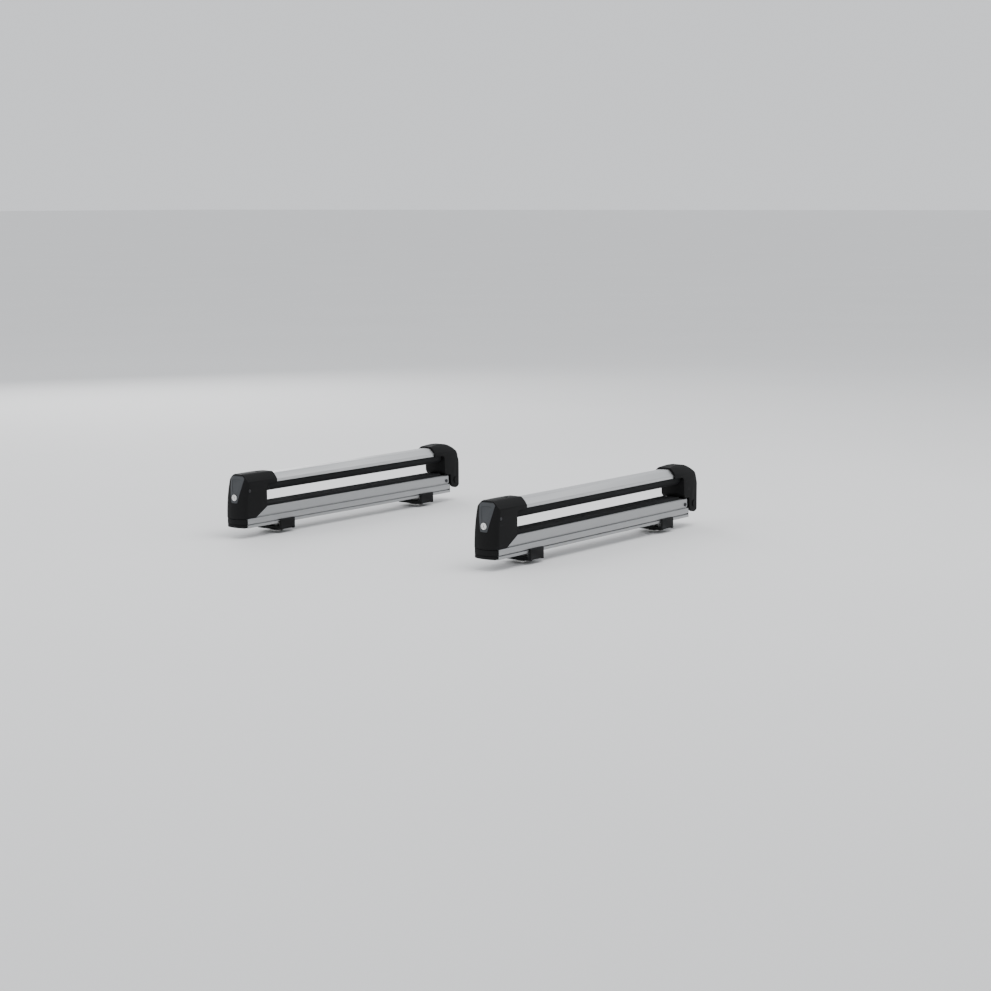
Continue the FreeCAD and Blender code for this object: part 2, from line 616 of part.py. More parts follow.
def pawl_spring():
    """Torsion spring wound round the pawl's pin."""
    return coil(3.6, 0.5, 5, vec(PIVOT_X, -9.0, PIVOT_Z), vec(0, 7.0, 0))


def release_button():
    """Shield-shaped push button with a sloped top edge, a sunk panel and a boss for the spring."""
    proud = 0.3
    thickness = 3.0
    shield = section_prism(button_outline(0), -10, 20)
    brow = side_prism([(-10, BUTTON_LOW - 1), (-10, FRONT_HEIGHT), (front_x(FRONT_HEIGHT) - proud, FRONT_HEIGHT),
                       (11.5, 86.2), (20, 86.2), (20, BUTTON_LOW - 1)], 30)
    plate = cut(leaning_form(-proud, 0), [leaning_form(thickness, -5)]).common(shield).common(brow)
    panel = mirrored([(0, 53.0), (5.5, 53.0), (10.8, 70.0), (13.5, 76.5), (10.5, 79.5), (0, 79.5)])
    sunk = cut(section_prism(panel, -10, 20), [leaning_form(0.5, -5)])
    neck = rod(vec(front_x(PLUNGER_Z) + 1.5, 0, PLUNGER_Z), vec(13.6, 0, PLUNGER_Z), 5.0)
    boss = rod(vec(13, 0, PLUNGER_Z), vec(18, 0, PLUNGER_Z), 2.4)
    hub = rod(vec(front_x(LOCK_Z) + 1.0, 0, LOCK_Z), vec(12.0, 0, LOCK_Z), LOCK_RADIUS + 1.6)
    pads = [box(front_x(PLUNGER_Z) + 2.5, 11.2, y - 1.5, y + 1.5, 74.8, 77.5) for y in (-11.5, 11.5)]
    body = fused([cut(plate, [sunk]), neck, boss, hub] + pads)
    return cut(body, [rod(vec(-5, 0, LOCK_Z), vec(30, 0, LOCK_Z), LOCK_RADIUS)])


def button_spring():
    """Compression spring between the button's boss and the spring seat."""
    return coil(3.4, 0.5, 9, vec(14.5, 0, PLUNGER_Z), vec(ARM_START - 2 - 14.5 - 0.8, 0, 0))


def lock_barrel():
    """Cylinder of the lock, pressed into the button."""
    face = front_x(LOCK_Z) - 1.0
    body = rod(vec(face, 0, LOCK_Z), vec(18.0, 0, LOCK_Z), LOCK_RADIUS)
    return cut(body, [rod(vec(-5, 0, LOCK_Z), vec(30, 0, LOCK_Z), CORE_RADIUS + RUN_GAP)])


def lock_core():
    """Turning core of the lock, with its keyway."""
    face = front_x(LOCK_Z) - 0.8
    body = rod(vec(face, 0, LOCK_Z), vec(18.4, 0, LOCK_Z), CORE_RADIUS)
    keyway = box(-5, 12, -0.7, 0.7, LOCK_Z - 3.2, LOCK_Z + 3.2)
    return cut(body, [keyway])


def lock_cam():
    """Tongue on the back of the core."""
    tongue = fused([rod(vec(18.4, 0, LOCK_Z), vec(20.0, 0, LOCK_Z), 4.0),
                    box(18.4, 20.0, -2.2, 2.2, LOCK_Z, LOCK_Z + 9.0)])
    return tongue


# ---------------------------------------------------------------- assembly
SINGLE = {
    "lower_rail": lower_rail,
    "lower_pad": lower_pad,
    "near_end_cap": near_end_cap,
    "hinge_block": hinge_block,
    "hinge_pin": hinge_pin,
    "striker": striker,
    "near_bracket": lambda: bar_bracket(NEAR_BRACKET_X),
    "far_bracket": lambda: bar_bracket(FAR_BRACKET_X),
    "upper_profile": upper_profile,
    "upper_pad": upper_pad,
    "housing": housing,
    "hinge_cap": hinge_cap,
    "arm_screws": arm_screws,
    "spring_seat": spring_seat,
    "button_spring": button_spring,
    "pawl_pin": pawl_pin,
    "pawl_spring": pawl_spring,
    "latch_pawl": latch_pawl,
    "release_button": release_button,
    "lock_barrel": lock_barrel,
    "lock_core": lock_core,
    "lock_cam": lock_cam,
}
SHARED = {
    "bar_pads": bar_pads,
    "t_bolts": t_bolts,
    "t_bolt_nuts": t_bolt_nuts,
    "striker_screws": striker_screws,
    "hinge_screws": hinge_screws,
    "hinge_washers": hinge_washers,
    "hinge_pin_caps": hinge_pin_caps,
}


def placed(shape, side_y):
    """A copy of a shape, moved from the carrier's own frame into the row frame."""
    moved = shape.copy()
    moved.translate(vec(-(NEAR_FACE + FAR_END) / 2, side_y, BASE))
    return moved


def as_list(made):
    return made if isinstance(made, list) else [made]


def export(name, solids):
    shape = solids[0] if len(solids) == 1 else Part.makeCompound(solids)
    shape.exportStep(os.path.join("parts", name + ".step"))
    print(f"{name}: {len(shape.Solids)} solid(s), valid {shape.isValid()}, volume {shape.Volume:.0f}")


def main():
    os.makedirs("parts", exist_ok=True)
    for name, make in SINGLE.items():
        made = as_list(make())
        for side, side_y in SIDES.items():
            export(f"{name}_{side}", [placed(shape, side_y) for shape in made])
    for name, make in SHARED.items():
        made = as_list(make())
        export(name, [placed(shape, side_y) for side_y in SIDES.values() for shape in made])


main()
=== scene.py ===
"""Looks of a pair of roof ski carriers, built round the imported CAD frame.

Pieces are modelled in millimetres in a carrier's own coordinates: x along the carrier towards the hinge,
y across from the carrier's middle plane, z up from the parting line between housing and rail. Datum
carries them into the row frame, in metres.
"""

import json
import logging
import math
from collections.abc import Callable, Sequence
from dataclasses import dataclass
from enum import Enum

import bmesh
import bpy
from mathutils import Matrix, Vector


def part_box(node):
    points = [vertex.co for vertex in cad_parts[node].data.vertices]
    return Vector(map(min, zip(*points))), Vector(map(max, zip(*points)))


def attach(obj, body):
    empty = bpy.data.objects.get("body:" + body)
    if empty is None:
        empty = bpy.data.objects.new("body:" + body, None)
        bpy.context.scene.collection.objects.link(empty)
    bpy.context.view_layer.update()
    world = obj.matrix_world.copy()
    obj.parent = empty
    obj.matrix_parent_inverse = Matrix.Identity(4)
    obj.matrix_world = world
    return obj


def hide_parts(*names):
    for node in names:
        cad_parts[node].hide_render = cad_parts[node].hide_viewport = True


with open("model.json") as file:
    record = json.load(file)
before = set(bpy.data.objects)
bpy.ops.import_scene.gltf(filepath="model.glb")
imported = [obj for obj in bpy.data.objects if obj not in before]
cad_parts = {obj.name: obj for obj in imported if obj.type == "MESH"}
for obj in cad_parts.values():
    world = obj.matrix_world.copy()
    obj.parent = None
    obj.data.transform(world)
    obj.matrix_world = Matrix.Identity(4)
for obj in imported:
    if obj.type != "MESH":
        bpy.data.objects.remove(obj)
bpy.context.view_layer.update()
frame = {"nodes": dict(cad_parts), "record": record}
MM = 0.001
Point = tuple[float, float]
Rgb = tuple[float, float, float]
log = logging.getLogger("ski_carrier")


# ---------------------------------------------------------------- shader graphs
class Value:
    """A number in a material. Arithmetic on it adds Math nodes."""

    def __init__(self, graph: "Graph", socket: bpy.types.NodeSocket) -> None:
        """Wrap one output socket of a graph."""
        self.graph = graph
        self.socket = socket

    def _math(self, operation: str, first: "Value | float", second: "Value | float") -> "Value":
        """Add one Math node and return its result."""
        node = self.graph.node("ShaderNodeMath", {"operation": operation}, {0: first, 1: second})
        return Value(self.graph, node.outputs[0])

    def __add__(self, other: "Value | float") -> "Value":
        """Sum."""
        return self._math("ADD", self, other)

    def __radd__(self, other: float) -> "Value":
        """Sum with a number on the left."""
        return self._math("ADD", other, self)

    def __sub__(self, other: "Value | float") -> "Value":
        """Difference."""
        return self._math("SUBTRACT", self, other)

    def __rsub__(self, other: float) -> "Value":
        """Difference from a number."""
        return self._math("SUBTRACT", other, self)

    def __mul__(self, other: "Value | float") -> "Value":
        """Product."""
        return self._math("MULTIPLY", self, other)

    def __rmul__(self, other: float) -> "Value":
        """Product with a number on the left."""
        return self._math("MULTIPLY", other, self)

    def __pow__(self, other: "Value | float") -> "Value":
        """Power."""
        return self._math("POWER", self, other)

    def above(self, edge: float, width: float) -> "Value":
        """Soft step from 0 to 1 that starts at an edge.

        Args:
            edge: value at which the step starts.
            width: how far the step takes to reach 1.

        Returns:
            The step, held between 0 and 1.
        """
        node = self.graph.node(
            "ShaderNodeMapRange",
            {"interpolation_type": "SMOOTHSTEP"},
            {"Value": self, "From Min": edge, "From Max": edge + width},
        )
        return Value(self.graph, node.outputs["Result"])


class Graph:
    """Node graph of one material, round a single Principled shader."""

    def __init__(self, name: str) -> None:
        """Make an empty material.

        Args:
            name: the material's name.
        """
        self.material = bpy.data.materials.new(name)
        self.material.use_nodes = True
        self.tree = self.material.node_tree
        self.shader = self.tree.nodes["Principled BSDF"]
        coordinates = self.node("ShaderNodeTexCoord", {}, {})
        self.place = coordinates.outputs["Object"]

    def node(
        self, kind: str, settings: dict[str, object], inputs: dict[int | str, object]
    ) -> bpy.types.Node:
        """Add a node.

        Args:
            kind: the node's type name.
            settings: properties that are set before the sockets.
            inputs: values or links of its sockets, by name or number.

        Returns:
            The new node.
        """
        node = self.tree.nodes.new(kind)
        for key, setting in settings.items():
            setattr(node, key, setting)
        for key, given in inputs.items():
            if isinstance(given, Value):
                given = given.socket
            if isinstance(given, bpy.types.NodeSocket):
                self.tree.links.new(given, node.inputs[key])
            else:
                node.inputs[key].default_value = given
        return node

    def noise(
        self, size_mm: float, detail: float = 2.0, stretch: tuple[float, float, float] = (1, 1, 1)
    ) -> Value:
        """Smooth noise, about 0 to 1.

        Args:
            size_mm: width of one blotch.
            detail: number of finer layers.
            stretch: how many times longer the blotches are along x, y and z.

        Returns:
            The noise as a value.
        """
        scale = tuple(1.0 / (size_mm * MM * times) for times in stretch)
        mapping = self.node("ShaderNodeMapping", {}, {"Vector": self.place, "Scale": scale})
        texture = self.node(
            "ShaderNodeTexNoise", {}, {"Vector": mapping.outputs[0], "Scale": 1.0, "Detail": detail}
        )
        return Value(self, texture.outputs["Fac"])

    def cells(self, size_mm: float) -> Value:
        """Distance to the nearest of many scattered points, for leathery mould grain.

        Args:
            size_mm: width of one cell.

        Returns:
            The distance as a value.
        """
        scale = (1.0 / (size_mm * MM),) * 3
        mapping = self.node("ShaderNodeMapping", {}, {"Vector": self.place, "Scale": scale})
        texture = self.node(
            "ShaderNodeTexVoronoi", {"feature": "SMOOTH_F1"}, {"Vector": mapping.outputs[0], "Scale": 1.0}
        )
        return Value(self, texture.outputs["Distance"])

    def blend(self, first: Rgb, second: Rgb, share: Value) -> bpy.types.NodeSocket:
        """Colour between two others.

        Args:
            first: linear colour where the share is 0.
            second: linear colour where the share is 1.
            share: how much of the second colour shows.

        Returns:
            The colour's socket.
        """
        node = self.node(
            "ShaderNodeMix", {"data_type": "RGBA"}, {"Factor": share, 6: (*first, 1.0), 7: (*second, 1.0)}
        )
        return node.outputs[2]

    def relief(
        self, height: Value, depth_mm: float, under: bpy.types.NodeSocket | None = None
    ) -> bpy.types.NodeSocket:
        """Bump from a height.

        Args:
            height: the height, about 0 to 1.
            depth_mm: depth of the relief from 0 to 1.
            under: normal of a coarser relief below this one.

        Returns:
            The normal's socket.
        """
        inputs: dict[int | str, object] = {"Height": height, "Strength": 1.0, "Distance": depth_mm * MM}
        if under is not None:
            inputs["Normal"] = under
        return self.node("ShaderNodeBump", {}, inputs).outputs[0]

    def finish(self, links: dict[str, object], constants: dict[str, object]) -> bpy.types.Material:
        """Feed the shader and return the material.

        Args:
            links: what varies over the surface, by socket name.
            constants: what is the same all over, by socket name.

        Returns:
            The finished material.
        """
        for key, given in links.items():
            self.tree.links.new(
                given.socket if isinstance(given, Value) else given, self.shader.inputs[key]
            )
        for key, given in constants.items():
            self.shader.inputs[key].default_value = given
        return self.material


# ---------------------------------------------------------------- finishes
@dataclass(frozen=True)
class MouldedPlastic:
    """Injection-moulded plastic with a fine spark-eroded grain."""

    colour: Rgb
    roughness: float
    grain_mm: float = 0.35
    grain_depth_mm: float = 0.018

    def make(self, name: str) -> bpy.types.Material:
        """Build the material under a name.

        Args:
            name: the material's name.

        Returns:
            The finished material.
        """
        graph = Graph(name)
        grain = graph.cells(self.grain_mm)
        cloud = graph.noise(26.0, 3.0)
        rubbed = graph.noise(7.0, 5.0, (3.0, 1.0, 1.0)).above(0.60, 0.14)
        lighter = tuple(channel * 1.30 + 0.004 for channel in self.colour)
        colour = graph.blend(self.colour, lighter, cloud * 0.5 + rubbed * 0.4)
        rough = self.roughness + cloud * 0.10 - rubbed * 0.09
        normal = graph.relief(grain, self.grain_depth_mm, graph.relief(graph.noise(9.0, 1.0), 0.05))
        return graph.finish({"Base Color": colour, "Roughness": rough, "Normal": normal},
                            {"Specular IOR Level": 0.10})


@dataclass(frozen=True)
class AnodisedExtrusion:
    """Satin anodised aluminium with die lines along the extrusion."""

    colour: Rgb
    roughness: float

    def make(self, name: str) -> bpy.types.Material:
        """Build the material under a name.

        Args:
            name: the material's name.

        Returns:
            The finished material.
        """
        graph = Graph(name)
        die_lines = graph.noise(0.5, 3.0, (900.0, 1.0, 1.0))
        bands = graph.noise(5.0, 2.0, (160.0, 1.0, 1.0))
        cloud = graph.noise(45.0, 2.0, (3.0, 1.0, 1.0))
        scuffs = graph.noise(1.6, 6.0, (14.0, 1.0, 1.0)).above(0.68, 0.08)
        darker = tuple(channel * 0.86 for channel in self.colour)
        colour = graph.blend(darker, self.colour, bands * 0.55 + cloud * 0.45)
        rough = self.roughness + die_lines * 0.12 + cloud * 0.06 - scuffs * 0.08
        normal = graph.relief(die_lines, 0.012, graph.relief(scuffs, 0.01))
        return graph.finish({"Base Color": colour, "Roughness": rough, "Normal": normal},
                            {"Metallic": 1.0, "Anisotropic": 0.35})


@dataclass(frozen=True)
class Rubber:
    """Soft matt rubber with a little bloom and dust."""

    colour: Rgb

    def make(self, name: str) -> bpy.types.Material:
        """Build the material under a name.

        Args:
            name: the material's name.

        Returns:
            The finished material.
        """
        graph = Graph(name)
        pores = graph.noise(0.8, 4.0)
        bloom = graph.noise(18.0, 4.0, (5.0, 1.0, 1.0))
        dusty = tuple(channel * 1.7 + 0.006 for channel in self.colour)
        colour = graph.blend(self.colour, dusty, bloom.above(0.42, 0.30) * 0.55)
        normal = graph.relief(pores, 0.03)
        return graph.finish({"Base Color": colour, "Roughness": 0.66 + bloom * 0.16, "Normal": normal},
                            {"Specular IOR Level": 0.12})


@dataclass(frozen=True)
class PlatedMetal:
    """Plated steel or die casting, clouded and finely scratched."""

    colour: Rgb
    roughness: float
    scratch: float = 0.15

    def make(self, name: str) -> bpy.types.Material:
        """Build the material under a name.

        Args:
            name: the material's name.

        Returns:
            The finished material.
        """
        graph = Graph(name)
        cloud = graph.noise(4.0, 4.0)
        scratches = graph.noise(0.25, 2.0, (1.0, 18.0, 1.0)).above(0.58, 0.10)
        darker = tuple(channel * 0.72 for channel in self.colour)
        colour = graph.blend(darker, self.colour, cloud.above(0.25, 0.5))
        rough = self.roughness + cloud * 0.10 + scratches * self.scratch
        return graph.finish(
            {"Base Color": colour, "Roughness": rough, "Normal": graph.relief(scratches, 0.006)},
            {"Metallic": 1.0}
        )


@dataclass(frozen=True)
class PowderCoat:
    """Black powder coat on steel: orange peel, and worn a little."""

    colour: Rgb

    def make(self, name: str) -> bpy.types.Material:
        """Build the material under a name.

        Args:
            name: the material's name.

        Returns:
            The finished material.
        """
        graph = Graph(name)
        peel = graph.noise(1.4, 2.0)
        dust = graph.noise(14.0, 5.0).above(0.52, 0.25)
        lighter = tuple(channel * 1.9 + 0.004 for channel in self.colour)
        colour = graph.blend(self.colour, lighter, dust * 0.5)
        return graph.finish(
            {"Base Color": colour, "Roughness": 0.42 + dust * 0.18, "Normal": graph.relief(peel, 0.05)},
            {"Specular IOR Level": 0.12}
        )


class Slot(Enum):
    """Material slots of the record, each with its finish."""

    BLACK_PLASTIC = "black_plastic"
    GREY_PLASTIC = "grey_plastic"
    RAIL_ALUMINIUM = "rail_aluminium"
    ARM_ALUMINIUM = "arm_aluminium"
    RUBBER = "rubber"
    BRACKET_BLACK = "bracket_black"
    STEEL = "steel"
    DARK_STEEL = "dark_steel"
    LOCK_METAL = "lock_metal"
    NYLON = "nylon"


FINISHES: dict[Slot, MouldedPlastic | AnodisedExtrusion | Rubber | PlatedMetal | PowderCoat] = {
    Slot.BLACK_PLASTIC: MouldedPlastic((0.0060, 0.0061, 0.0063), 0.55),
    Slot.GREY_PLASTIC: MouldedPlastic((0.056, 0.059, 0.063), 0.42, 0.25, 0.010),
    Slot.RAIL_ALUMINIUM: AnodisedExtrusion((0.40, 0.405, 0.41), 0.36),
    Slot.ARM_ALUMINIUM: AnodisedExtrusion((0.62, 0.625, 0.63), 0.32),
    Slot.RUBBER: Rubber((0.010, 0.0104, 0.011)),
    Slot.BRACKET_BLACK: PowderCoat((0.0060, 0.0060, 0.0065)),
    Slot.STEEL: PlatedMetal((0.62, 0.62, 0.60), 0.30),
    Slot.DARK_STEEL: PlatedMetal((0.07, 0.07, 0.075), 0.38),
    Slot.LOCK_METAL: PlatedMetal((0.86, 0.86, 0.85), 0.18, 0.08),
    Slot.NYLON: MouldedPlastic((0.50, 0.50, 0.46), 0.50),
}


class Palette:
    """The materials, made once each."""

    def __init__(self) -> None:
        """Build every finish."""
        self.made = {slot: finish.make(slot.value) for slot, finish in FINISHES.items()}

    def dress_nodes(self, record: dict) -> None:
        """Give every CAD node the finish of its slot in the record."""
        for row in record["subparts"]:
            mesh = frame["nodes"][row["node"]].data
            mesh.materials.clear()
            mesh.materials.append(self.made[Slot(row["material_slot"])])


# ---------------------------------------------------------------- outlines and solids
@dataclass(frozen=True)
class Arc:
    """Round stretch of an outline: through one point, to another."""

    via: Point
    end: Point


Outline = Sequence[Point | Arc]


def arc_points(start: Point, arc: Arc, steps: int) -> list[Point]:
    """Points along an arc after its start.

    Args:
        start: where the arc starts.
        arc: the arc.
        steps: number of chords.

    Returns:
        The points, the arc's end last.
    """
    (ax, ay), (bx, by), (cx, cy) = start, arc.via, arc.end
    turn = 2 * (ax * (by - cy) + bx * (cy - ay) + cx * (ay - by))
    a2, b2, c2 = ax * ax + ay * ay, bx * bx + by * by, cx * cx + cy * cy
    ox = (a2 * (by - cy) + b2 * (cy - ay) + c2 * (ay - by)) / turn
    oy = (a2 * (cx - bx) + b2 * (ax - cx) + c2 * (bx - ax)) / turn
    radius = math.hypot(ax - ox, ay - oy)
    first = math.atan2(ay - oy, ax - ox)
    sweep = (math.atan2(cy - oy, cx - ox) - first) % math.tau
    middle = (math.atan2(by - oy, bx - ox) - first) % math.tau
    if middle > sweep:
        sweep -= math.tau
    return [
        (
            ox + radius * math.cos(first + sweep * step / steps),
            oy + radius * math.sin(first + sweep * step / steps)
        )
        for step in range(1, steps + 1)
    ]


def trace(outline: Outline, steps: int = 8) -> list[Point]:
    """Turn an outline into plain points.

    Args:
        outline: points and arcs, starting with a point.
        steps: chords in each arc.

    Returns:
        The points in order.
    """
    points: list[Point] = []
    for item in outline:
        if isinstance(item, Arc):
            points += arc_points(points[-1], item, steps)
        else:
            points.append(item)
    return points


def mirrored(outline: Outline, steps: int = 8) -> list[Point]:
    """Right half of an outline, bottom to top, made whole by its mirror image.

    Args:
        outline: the right half.
        steps: chords in each arc.

    Returns:
        The whole outline's points.
    """
    right = trace(outline, steps)
    left = [(-u, v) for u, v in reversed(right) if abs(u) > 1e-6]
    return right + left


class Axis(Enum):
    """Direction in which an outline is extruded."""

    ALONG = "x"
    ACROSS = "y"
    UP = "z"

    def lift(self, point: Point, depth: float) -> Vector:
        """Place a 2D point at a depth along this axis.

        Args:
            point: the point, in the outline's own two coordinates.
            depth: place along this axis.

        Returns:
            The point in x, y and z.
        """
        u, v = point
        if self is Axis.ALONG:
            return Vector((depth, u, v))
        if self is Axis.ACROSS:
            return Vector((u, depth, v))
        return Vector((u, v, depth))


@dataclass(frozen=True)
class Datum:
    """Where one carrier's own origin lies in the row frame, in metres."""

    side: str
    origin: Vector

    @property
    def matrix(self) -> Matrix:
        """From the carrier's millimetres to the row frame's metres."""
        return Matrix.Translation(self.origin) @ Matrix.Scale(MM, 4)


class Solid:
    """A closed mesh in a carrier's own millimetres."""

    def __init__(self) -> None:
        """Start empty."""
        self.bm = bmesh.new()

    @classmethod
    def prism(cls, points: Sequence[Point], axis: Axis, low: float, high: float) -> "Solid":
        """Extrude an outline.

        Args:
            points: the outline's points.
            axis: direction of the extrusion.
            low: where it starts.
            high: where it ends.

        Returns:
            The prism.
        """
        solid = cls()
        corners = [solid.bm.verts.new(axis.lift(point, low)) for point in points]
        face = solid.bm.faces.new(corners)
        grown = bmesh.ops.extrude_face_region(solid.bm, geom=[face])
        moved = [item for item in grown["geom"] if isinstance(item, bmesh.types.BMVert)]
        bmesh.ops.translate(solid.bm, verts=moved, vec=axis.lift((0, 0), high - low))
        bmesh.ops.recalc_face_normals(solid.bm, faces=solid.bm.faces)
        return solid

    @classmethod
    def stacked(cls, rings: Sequence[Sequence[Sequence[float]]]) -> "Solid":
        """Skin over rings of the same number of points, closed at both ends.

        Args:
            rings: 3D points of each ring, lowest ring first.

        Returns:
            The closed solid.
        """
        solid = cls()
        rows = [[solid.bm.verts.new(point) for point in ring] for ring in rings]
        for row, above in zip(rows, rows[1:]):
            for index in range(len(row)):
                after = (index + 1) % len(row)
                solid.bm.faces.new((row[index], row[after], above[after], above[index]))
        solid.bm.faces.new(rows[0])
        solid.bm.faces.new(rows[-1])
        bmesh.ops.recalc_face_normals(solid.bm, faces=solid.bm.faces)
        return solid

    @classmethod
    def hull(cls, points: Sequence[Sequence[float]], flat: float = 3.0) -> "Solid":
        """Convex solid round some points.

        Args:
            points: the 3D points.
            flat: faces that meet at less than this angle are joined, in degrees.

        Returns:
            The solid.
        """
        solid = cls()
        for point in points:
            solid.bm.verts.new(point)
        made = bmesh.ops.convex_hull(solid.bm, input=solid.bm.verts)
        inside = made["geom_interior"] + made["geom_unused"]
        loose = {item for item in inside if isinstance(item, bmesh.types.BMVert)}
        bmesh.ops.delete(solid.bm, geom=[vert for vert in solid.bm.verts if vert in loose], context="VERTS")
        bmesh.ops.dissolve_limit(
            solid.bm, angle_limit=math.radians(flat), verts=solid.bm.verts, edges=solid.bm.edges
        )
        bmesh.ops.recalc_face_normals(solid.bm, faces=solid.bm.faces)
        return solid

    @classmethod
    def box(cls, low: Sequence[float], high: Sequence[float]) -> "Solid":
        """Box between two corners.

        Args:
            low: corner with the least x, y and z.
            high: the opposite corner.

        Returns:
            The box.
        """
        solid = cls()
        made = bmesh.ops.create_cube(solid.bm, size=1.0)
        size = Vector(high) - Vector(low)
        bmesh.ops.scale(solid.bm, vec=size, verts=made["verts"])
        bmesh.ops.translate(solid.bm, vec=Vector(low) + size / 2, verts=made["verts"])
        return solid

    @classmethod
    def turned(
        cls, profile: Outline, start: Sequence[float], direction: Sequence[float], steps: int = 48
    ) -> "Solid":
        """Spin a profile into a turned part.

        Args:
            profile: (radius, height) outline from the axis back to the axis, or a closed ring outline.
            start: foot of the axis.
            direction: direction of the axis.
            steps: facets round the axis.

        Returns:
            The turned solid.
        """
        solid = cls()
        points = trace(profile, 6)
        ring = [solid.bm.verts.new((radius, 0, height)) for radius, height in points]
        edges = [solid.bm.edges.new(pair) for pair in zip(ring, ring[1:])]
        if points[0][0] > 0:
            edges.append(solid.bm.edges.new((ring[-1], ring[0])))
        bmesh.ops.spin(
            solid.bm, geom=ring + edges, cent=(0, 0, 0), axis=(0, 0, 1), angle=math.tau, steps=steps,
            use_merge=True
        )
        bmesh.ops.remove_doubles(solid.bm, verts=solid.bm.verts, dist=1e-5)
        bmesh.ops.recalc_face_normals(solid.bm, faces=solid.bm.faces)
        turn = Vector((0, 0, 1)).rotation_difference(Vector(direction)).to_matrix().to_4x4()
        bmesh.ops.transform(solid.bm, matrix=Matrix.Translation(Vector(start)) @ turn, verts=solid.bm.verts)
        return solid

    @classmethod
    def rod(
        cls, start: Sequence[float], end: Sequence[float], radius: float, chamfer: float = 0.0
    ) -> "Solid":
        """Cylinder between two points, with chamfered rims.

        Args:
            start: centre of one end.
            end: centre of the other end.
            radius: radius of the cylinder.
            chamfer: size of the chamfer on both rims.

        Returns:
            The cylinder.
        """
        axis = Vector(end) - Vector(start)
        length = axis.length
        profile = [(0, 0), (radius - chamfer, 0), (radius, chamfer), (radius, length - chamfer),
                   (radius - chamfer, length), (0, length)]
        if chamfer == 0:
            profile = [(0, 0), (radius, 0), (radius, length), (0, length)]
        return cls.turned(profile, start, axis)

    def _through(self, dress: Callable[[bpy.types.Object], None]) -> "Solid":
        """Run the mesh through modifiers and take the result back.

        Args:
            dress: gives the object its modifiers.

        Returns:
            This solid.
        """
        mesh = bpy.data.meshes.new("work")
        self.bm.to_mesh(mesh)
        work = bpy.data.objects.new("work", mesh)
        bpy.context.scene.collection.objects.link(work)
        dress(work)
        graph = bpy.context.evaluated_depsgraph_get()
        result = bpy.data.meshes.new_from_object(work.evaluated_get(graph))
        self.bm.clear()
        self.bm.from_mesh(result)
        bpy.data.objects.remove(work)
        bpy.data.meshes.remove(mesh)
        bpy.data.meshes.remove(result)
        return self

    def rounded(self, width: float, segments: int = 3, angle: float = 30.0) -> "Solid":
        """Bevel edges.

        Args:
            width: bevel width in millimetres.
            segments: facets across each bevel.
            angle: least angle of the edges taken, in degrees.

        Returns:
            This solid.
        """
        def dress(work: bpy.types.Object) -> None:
            """Give the object this bevel.

            Args:
                work: the object that carries the mesh.
            """
            bevel = work.modifiers.new("bevel", "BEVEL")
            bevel.width = width
            bevel.segments = segments
            bevel.limit_method = "ANGLE"
            bevel.angle_limit = math.radians(angle)
            bevel.use_clamp_overlap = True
            bevel.miter_outer = "MITER_SHARP"

        return self._through(dress)

    def _boolean(self, operation: str, tools: Sequence["Solid"]) -> "Solid":
        """Combine this solid with others, one after another.

        Args:
            operation: Blender's name of the operation.
            tools: the other solids.

        Returns:
            This solid.
        """
        for tool in tools:
            mesh = bpy.data.meshes.new("tool")
            tool.bm.to_mesh(mesh)
            other = bpy.data.objects.new("tool", mesh)
            bpy.context.scene.collection.objects.link(other)

            def dress(work: bpy.types.Object, other: bpy.types.Object = other) -> None:
                """Give the object this operation.

                Args:
                    work: the object that carries the mesh.
                    other: the object to combine it with.
                """
                boolean = work.modifiers.new("boolean", "BOOLEAN")
                boolean.operation = operation
                boolean.solver = "EXACT"
                boolean.object = other

            self._through(dress)
            bpy.data.objects.remove(other)
            bpy.data.meshes.remove(mesh)
            if any(len(edge.link_faces) != 2 for edge in self.bm.edges):
                log.warning("a %s left a solid open", operation.lower())
        return self

    def cut(self, *tools: "Solid") -> "Solid":
        """Take tools away from this solid."""
        return self._boolean("DIFFERENCE", tools)

    def keep(self, *tools: "Solid") -> "Solid":
        """Keep only what lies inside every tool."""
        return self._boolean("INTERSECT", tools)

    def weld(self, *others: "Solid") -> "Solid":
        """Fuse other solids into this one."""
        return self._boolean("UNION", others)

    def beside(self, *others: "Solid") -> "Solid":
        """Put separate solids into the same piece.

        Args:
            others: the solids to add, not fused with this one.

        Returns:
            This solid.
        """
        for other in others:
            mesh = bpy.data.meshes.new("other")
            other.bm.to_mesh(mesh)
            self.bm.from_mesh(mesh)
            bpy.data.meshes.remove(mesh)
        return self

    def flipped_copy(self) -> "Solid":
        """The same solid, mirrored across the carrier's middle plane.

        Returns:
            The mirrored solid.
        """
        copy = Solid()
        copy.bm = self.bm.copy()
        bmesh.ops.scale(copy.bm, vec=(1, -1, 1), verts=copy.bm.verts)
        bmesh.ops.reverse_faces(copy.bm, faces=copy.bm.faces)
        return copy

    def reshape(self, rule: Callable[[Vector], Vector]) -> "Solid":
        """Move every vertex by a rule.

        Args:
            rule: gives each vertex its new place.

        Returns:
            This solid.
        """
        for vert in self.bm.verts:
            vert.co = rule(vert.co)
        return self

